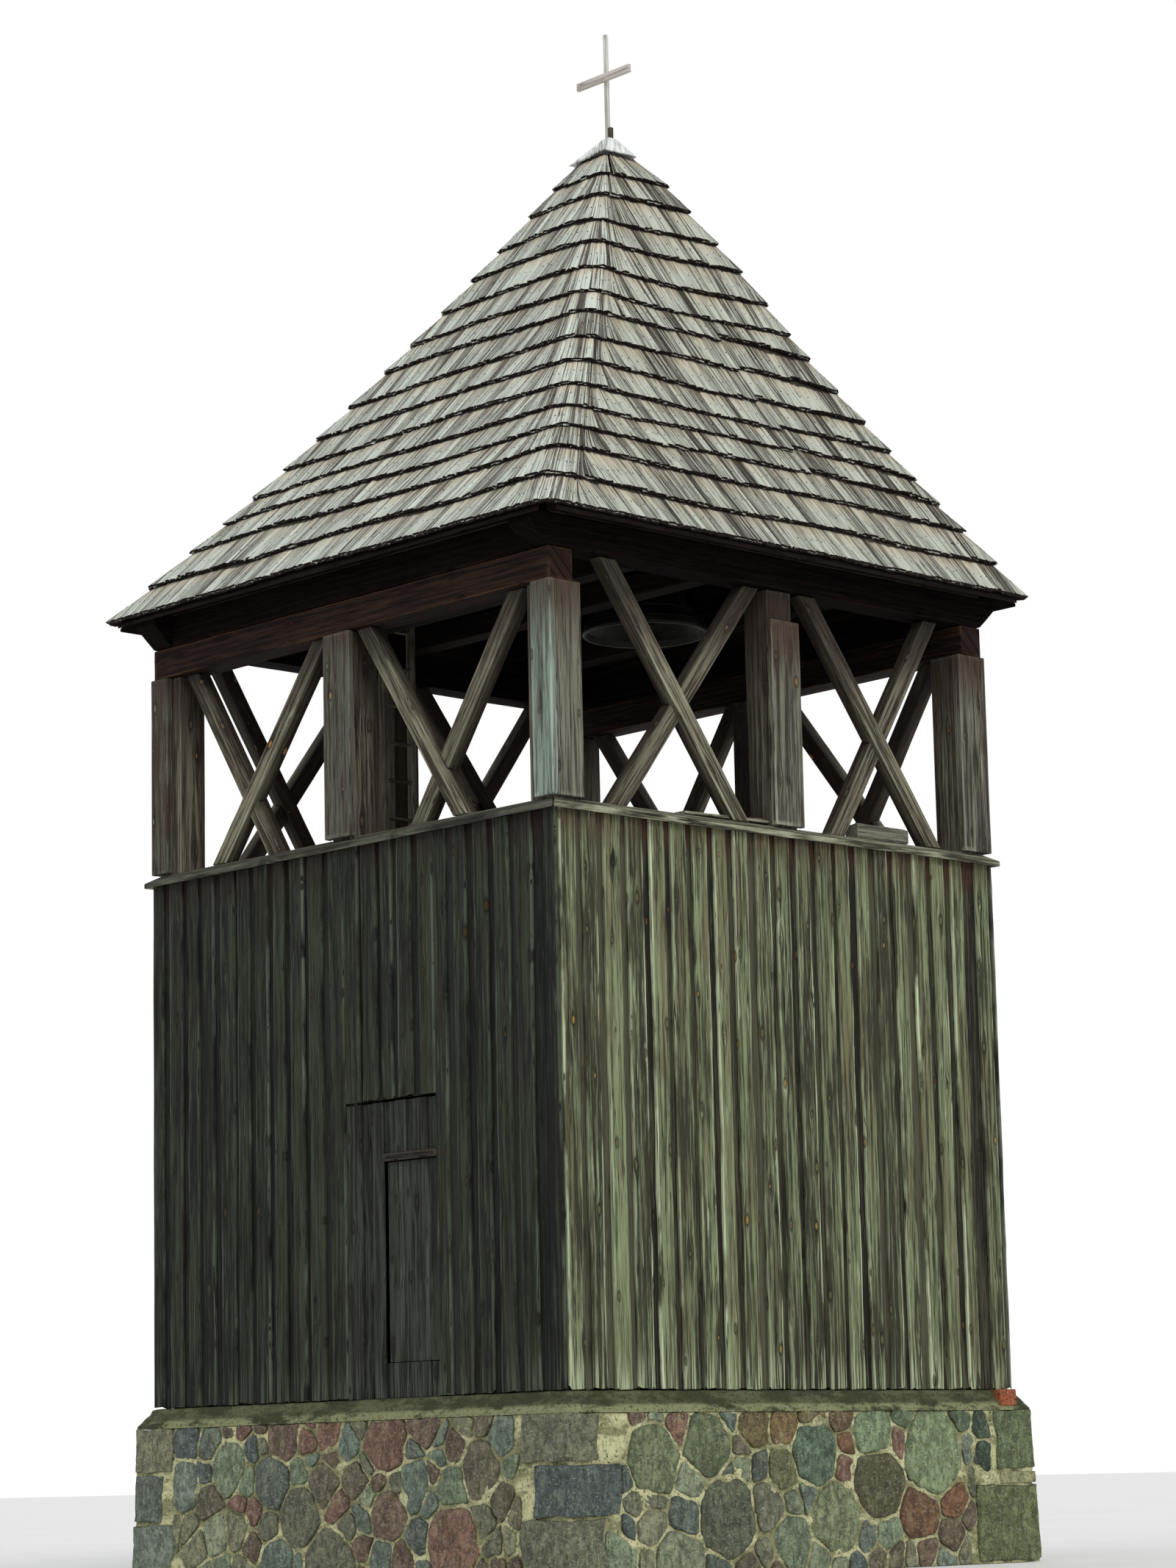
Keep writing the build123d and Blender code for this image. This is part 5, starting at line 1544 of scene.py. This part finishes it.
def lay_stone(heap, rng, side, polygon, tint):
    """One stone with a broken, uneven face that stays inside the plinth's face."""
    outline = outline_points(rounded([np.array(p) for p in polygon]), STONE_GRID)
    middle = outline.mean(0)
    shift = somewhere(rng)
    bulk = rng.uniform(0.5, 1.5)
    out, along = side_ways(side)
    places = []
    for scale, level, _ in STONE_RINGS:
        places += [(middle + (place - middle) * scale, level, scale) for place in outline]
    places.append((middle, 0.0, 0.0))
    points = []
    local = []
    for (x, z), level, scale in places:
        broad = lumps(x * 4.5 + shift[0], z * 4.5, shift[1])
        chips = lumps(x * 15 + shift[0], z * 15, shift[2])
        grit = lumps(x * 34, z * 34 + shift[0], shift[2])
        aside = scale * scale * (0.013 * chips + 0.006 * grit)
        depth = level * bulk - 0.002 - 0.020 * max(broad, 0.0) - 0.009 * abs(chips) - 0.004 * abs(grit)
        height = max(z + aside, 0.001)
        points.append(along * (x + aside) + out * (plinth_face(z) + min(depth, -0.001)) + (0, 0, height))
        local.append((x, depth, z))
    count = len(outline)
    faces = tube_faces(len(STONE_RINGS), count)[:-1]
    last = (len(STONE_RINGS) - 1) * count
    for k in range(count):
        faces.append((last + k, last + (k + 1) % count, len(points) - 1))
    shade = np.array(tint) * rng.uniform(0.85, 1.15)
    rim = np.append(np.repeat([dirt_and_shade for *_, dirt_and_shade in STONE_RINGS], count), 0.0)
    look = np.column_stack([np.tile(shade, (len(rim), 1)), rim])
    heap.add(np.array(points), faces, np.array(local) + shift, look)


def plinth_face(z):
    return PLINTH_FOOT_FACE + (PLINTH_TOP_FACE - PLINTH_FOOT_FACE) * z / SHOULDER_LINE


def quoin(heap, rng, corner, foot, top, reach_x, reach_y, tint):
    """A squared stone round a corner, its two faces flush with the plinth's faces."""
    block = bmesh.new()
    bmesh.ops.create_cube(block, size=1.0)
    bmesh.ops.bevel(block, geom=block.edges[:], offset=QUOIN_BEVEL, segments=2, profile=0.6, affect="EDGES")
    for axis in (Vector((1, 0, 0)), Vector((0, 1, 0)), Vector((0, 0, 1))):
        slice_up(block, axis, 0.085, 0.06)
    block.verts.index_update()
    shift = somewhere(rng)
    points = []
    rims = []
    for vert in block.verts:
        share = vert.co + Vector((0.5, 0.5, 0.5))
        z = foot + share.z * (top - foot)
        face = plinth_face(z) - 0.002
        ends = 0.05 * lumps(z * 5 + shift[0], 0.0, shift[1])
        x = face - (1 - share.x) * (reach_x + ends)
        y = face - (1 - share.y) * (reach_y - ends)
        z += 0.020 * lumps(x * 6 + shift[1], y * 6, share.z * 2) * (top - foot > 0.1)
        z = min(max(z, 0.001), SHOULDER_LINE)
        dent = 0.012 * abs(lumps(x * 4 + shift[0], y * 4, z * 4))
        dent += 0.007 * abs(lumps(x * 15, y * 15 + shift[1], z * 15))
        x -= dent
        y -= dent
        points.append((corner[0] * x, corner[1] * y, z))
        # The top and bottom faces take the dirt and painted shade of a stone's rim.
        rims.append(1.0 if min(share.z, 1 - share.z) < 0.02 else 0.0)
    tints = np.tile(tint, (len(points), 1))
    faces = faces_of(block)
    if corner[0] * corner[1] < 0:
        faces = [tuple(reversed(face)) for face in faces]
    heap.add(np.array(points), faces, np.array(points) + shift, np.column_stack([tints, rims]))
    block.free()


def build_plinth():
    stones = Heap()
    rng = np.random.default_rng(31)
    blocks = {side: [] for side in SIDES}
    for corner in ((1, 1), (1, -1), (-1, 1), (-1, -1)):
        far = corner == (1, 1)
        for k, (foot, top, reach_x, reach_y) in enumerate(FAR_QUOINS if far else QUOINS):
            tint = FAR_QUOIN_TINTS[k] if far else QUOIN_TINTS[rng.integers(len(QUOIN_TINTS))]
            quoin(stones, rng, corner, foot, top, reach_x, reach_y, tint)
            end = plinth_face(top)
            ends = (("back" if corner[1] > 0 else "front", corner[0], reach_x),
                    ("right" if corner[0] > 0 else "left", corner[1], reach_y))
            for side, way, reach in ends:
                way *= 1 if side in ("front", "right") else -1
                low, high = sorted((way * (end - reach), way * (end + 0.1)))
                blocks[side].append((low, high, foot, top))
    for side in SIDES:
        chosen = CHOSEN_STONES if side == "right" else ()
        for polygon, tint in stone_cells(rng, chosen, blocks[side]):
            lay_stone(stones, rng, side, polygon, tint)
    stones.piece("plinth_stones", MATERIALS["stone"], "stone", ["stone_plinth"])
    build_core()


def ring_piece(name, section, material, nodes, rough, spacing, seed):
    """A moulding round the tower: a section, out from the centre line and up, mitred at the corners."""
    half = min(reach for reach, _ in section)
    stations = int(2 * half / spacing)
    shares = np.linspace(-1, 1, stations + 1)[:-1]
    points = []
    for side in SIDES:
        out, along = (Vector(way) for way in side_ways(side))
        for share in shares:
            for index, (reach, z) in enumerate(section):
                place = along * (share * reach) + out * reach + Vector((0, 0, z))
                bump = noise.noise(place * 7 + Vector((seed, 0, 0))) + 0.5 * noise.noise(place * 23)
                fall = max(rough[index] * (0.5 + 0.4 * bump), 0.0)
                inward = out - along if share == -1 else out
                drop = 0.5 * fall if z > SHOULDER_LINE + 0.02 else 0.0
                points.append(place - fall * inward - Vector((0, 0, drop)))
    heap = Heap()
    faces = tube_faces(4 * len(shares), len(section), inside_out=True, ends=False, closed=True)
    add_plain(heap, points, faces)
    heap.piece(name, MATERIALS[material], "mortar", nodes)


MORTAR_ROWS = 26
MORTAR_ROUGH = 0.048
# Section of the mortar bed: reach, height over its foot or under its crest, and roughness
BED_SLOPE = ((2.05, 0.0, 0.0), (2.345, 0.0, 0.016), (2.3465, 0.024, 0.024), (2.325, 0.055, 0.026),
             (2.302, 0.085, 0.024), (2.280, 0.110, 0.020))
BED_CREST = ((2.262, -0.010, 0.010), (2.235, -0.004, 0.002), (2.203, -0.001, 0.0), (2.05, -0.001, 0.0))


def build_core():
    """Mortar between the stones, and the weathered bed on top of them."""
    inner = PLINTH_TOP_FACE - 0.40
    foot, top = 0.004, SHOULDER_LINE - 0.004
    section = [(plinth_face(z) - 0.002, z) for z in np.linspace(foot, top, MORTAR_ROWS)]
    section += [(inner, top), (inner, foot)]
    rough = [MORTAR_ROUGH] * MORTAR_ROWS + [0.0, 0.0]
    ring_piece("plinth_mortar", section, "mortar", [], rough, 0.045, 3)
    low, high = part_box("mortar_bed")
    bed = [(reach, low.z + up) for reach, up, _ in BED_SLOPE]
    bed += [(reach, high.z + up) for reach, up, _ in BED_CREST]
    rough = [share for *_, share in BED_SLOPE + BED_CREST]
    ring_piece("mortar_bed_skin", bed, "bed", ["mortar_bed"], rough, 0.03, 7)


# Bell: turned from a moulded profile, with its crown of loops

def lathe(heap, profile, centre, segments=96):
    circle = turns(segments)
    points = [(centre[0] + r * x, centre[1] + r * y, z) for r, z in profile for x, y in circle]
    add_plain(heap, points, tube_faces(len(profile), segments))


def sweep_tube(heap, path, radius, sides=10):
    """A round bar along a path in one upright plane."""
    path = [Vector(p) for p in path]
    points = []
    for i, here in enumerate(path):
        ahead = path[min(i + 1, len(path) - 1)] - path[max(i - 1, 0)]
        ahead.normalize()
        side = ahead.cross(Vector((0, 0, 1)))
        side = side.normalized() if side.length > 1e-4 else Vector((1, 0, 0))
        up = side.cross(ahead)
        points += [here + radius * (x * side + y * up) for x, y in turns(sides)]
    add_plain(heap, points, tube_faces(len(path), sides, inside_out=True))


BELL_SHARES = (
    (1.0, 0.03), (0.985, 0.075), (0.955, 0.115), (0.90, 0.16), (0.84, 0.21), (0.78, 0.27), (0.735, 0.32),
    (0.695, 0.38), (0.66, 0.44), (0.635, 0.50), (0.61, 0.56), (0.585, 0.62), (0.565, 0.68), (0.55, 0.74),
    (0.538, 0.80), (0.525, 0.86), (0.50, 0.905), (0.44, 0.95), (0.36, 0.985), (0.20, 1.0),
)
BELL_BANDS = (0.12, 0.27, 0.66, 0.80)
BELL_WALL = 0.030
BODY_SHARE = 640 / 730         # of the bell without its crown
CROWN_LOOPS = 6
CROWN_REACH = 0.06375


def build_bell():
    low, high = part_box("bell")
    stock_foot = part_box("headstock")[0].z
    centre = ((low.x + high.x) / 2, (low.y + high.y) / 2)
    mouth_r = (high.x - low.x) / 2
    height = (stock_foot - low.z) * BODY_SHARE
    fine = []
    shares = np.array(BELL_SHARES)
    for z in np.linspace(shares[0, 1], 1.0, 90):
        r = np.interp(z, shares[:, 1], shares[:, 0]) * mouth_r
        for band in BELL_BANDS:
            r += 0.006 * max(0.0, 1 - abs(z - band) / 0.012)
        fine.append((min(r, mouth_r) - 0.0005, low.z + z * height))
    inner = [(max(r - BELL_WALL, 0.05), z - BELL_WALL / 3) for r, z in fine[6:-8:4]]
    crown_line = low.z + height - BELL_WALL
    profile = [(0.004, crown_line), (inner[-1][0] * 0.8, crown_line)] + inner[::-1]
    lip = ((BELL_WALL, 0.002), (0.012, 0.001), (0.003, 0.008))
    profile += [(mouth_r - inward, low.z + up) for inward, up in lip]
    profile += fine
    profile.append((0.004, low.z + height))
    heap = Heap()
    lathe(heap, profile[::-1], centre)
    crown_foot = low.z + height - 0.005
    room = stock_foot - crown_foot - 0.012
    for k in range(CROWN_LOOPS):
        angle = 2 * pi * (k + 0.5) / CROWN_LOOPS
        path = []
        for step in np.linspace(0, pi, 13):
            r = 0.03 + CROWN_REACH * (0.5 - 0.5 * cos(step))
            level = crown_foot + room * sin(step) ** 0.8
            path.append((centre[0] + r * cos(angle), centre[1] + r * sin(angle), level))
        sweep_tube(heap, path, 0.012)
    stem = [(*centre, level) for level in (crown_foot, crown_foot + room * 0.6, stock_foot - 0.002)]
    sweep_tube(heap, stem, 0.028, 16)
    heap.piece("bell_casting", MATERIALS["bell"], "bell_metal", ["bell"], "bell")


def paint_iron():
    for node in ("door_straps", "door_pintles", "gudgeons", "clapper"):
        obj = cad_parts[node]
        obj.data.materials.clear()
        obj.data.materials.append(MATERIALS["iron"])


# Stage, light and camera

def build_stage():
    mesh = bpy.data.meshes.new("studio_floor")
    corners = [(x * FLOOR_REACH, y * FLOOR_REACH, 0) for x, y in ((-1, -1), (1, -1), (1, 1), (-1, 1))]
    mesh.from_pydata(corners, [], [(0, 1, 2, 3)])
    floor = bpy.data.objects.new("studio_floor", mesh)
    bpy.context.scene.collection.objects.link(floor)
    recipe = Recipe("floor_paint")
    where = recipe.node("ShaderNodeTexCoord").outputs["Object"]
    cloud = recipe.cloud(where, 0.4, detail=2)
    recipe.colour = recipe.mix(recipe.remap(cloud, 0.3, 0.7), *FLOOR_TINTS)
    floor.data.materials.append(recipe.finish(0.9))


def build_light():
    world = bpy.data.worlds.new("studio")
    bpy.context.scene.world = world
    world.use_nodes = True
    tree = world.node_tree
    tree.nodes.clear()
    output = tree.nodes.new("ShaderNodeOutputWorld")
    soft = tree.nodes.new("ShaderNodeBackground")
    soft.inputs["Color"].default_value = SKY_TINT
    soft.inputs["Strength"].default_value = SKY_STRENGTH
    white = tree.nodes.new("ShaderNodeBackground")
    white.inputs["Color"].default_value = (1, 1, 1, 1)
    rays = tree.nodes.new("ShaderNodeLightPath")
    seen = rays.outputs["Is Camera Ray"]
    for name in ("Is Glossy Ray", "Is Transmission Ray"):
        either = tree.nodes.new("ShaderNodeMath")
        either.operation = "MAXIMUM"
        tree.links.new(seen, either.inputs[0])
        tree.links.new(rays.outputs[name], either.inputs[1])
        seen = either.outputs[0]
    choice = tree.nodes.new("ShaderNodeMixShader")
    tree.links.new(seen, choice.inputs[0])
    tree.links.new(soft.outputs[0], choice.inputs[1])
    tree.links.new(white.outputs[0], choice.inputs[2])
    tree.links.new(choice.outputs[0], output.inputs["Surface"])

    sun = bpy.data.lights.new("soft_sun", "SUN")
    sun.energy = SUN_STRENGTH
    sun.angle = SUN_SIZE
    sun.color = SUN_TINT
    lamp = bpy.data.objects.new("soft_sun", sun)
    lamp.rotation_mode = "QUATERNION"
    lamp.rotation_quaternion = Vector(SUN_PLACE).to_track_quat("Z", "Y")
    bpy.context.scene.collection.objects.link(lamp)


def build_camera():
    data = bpy.data.cameras.new("photo_view")
    data.sensor_fit = "AUTO"
    data.sensor_width = LONG_SIDE
    data.lens = CAMERA_LENS
    data.clip_end = 1000
    camera = bpy.data.objects.new("photo_view", data)
    bpy.context.scene.collection.objects.link(camera)
    level = Vector((cos(CAMERA_TURN), sin(CAMERA_TURN), 0))
    reach = cos(CAMERA_PITCH)
    forward = Vector((-sin(CAMERA_TURN) * reach, cos(CAMERA_TURN) * reach, sin(CAMERA_PITCH)))
    upright = level.cross(forward)
    right = level * cos(CAMERA_ROLL) + upright * sin(CAMERA_ROLL)
    up = right.cross(forward)
    turned = Matrix((right, up, -forward)).transposed()
    camera.rotation_mode = "QUATERNION"
    camera.rotation_quaternion = turned.to_quaternion()
    camera.location = CAMERA_PLACE
    bpy.context.scene.camera = camera


build_walls()
dress_timbers()
build_roof()
build_door()
build_plinth()
build_bell()
paint_iron()
build_stage()
build_light()
build_camera()
bpy.context.scene.view_settings.view_transform = "Standard"
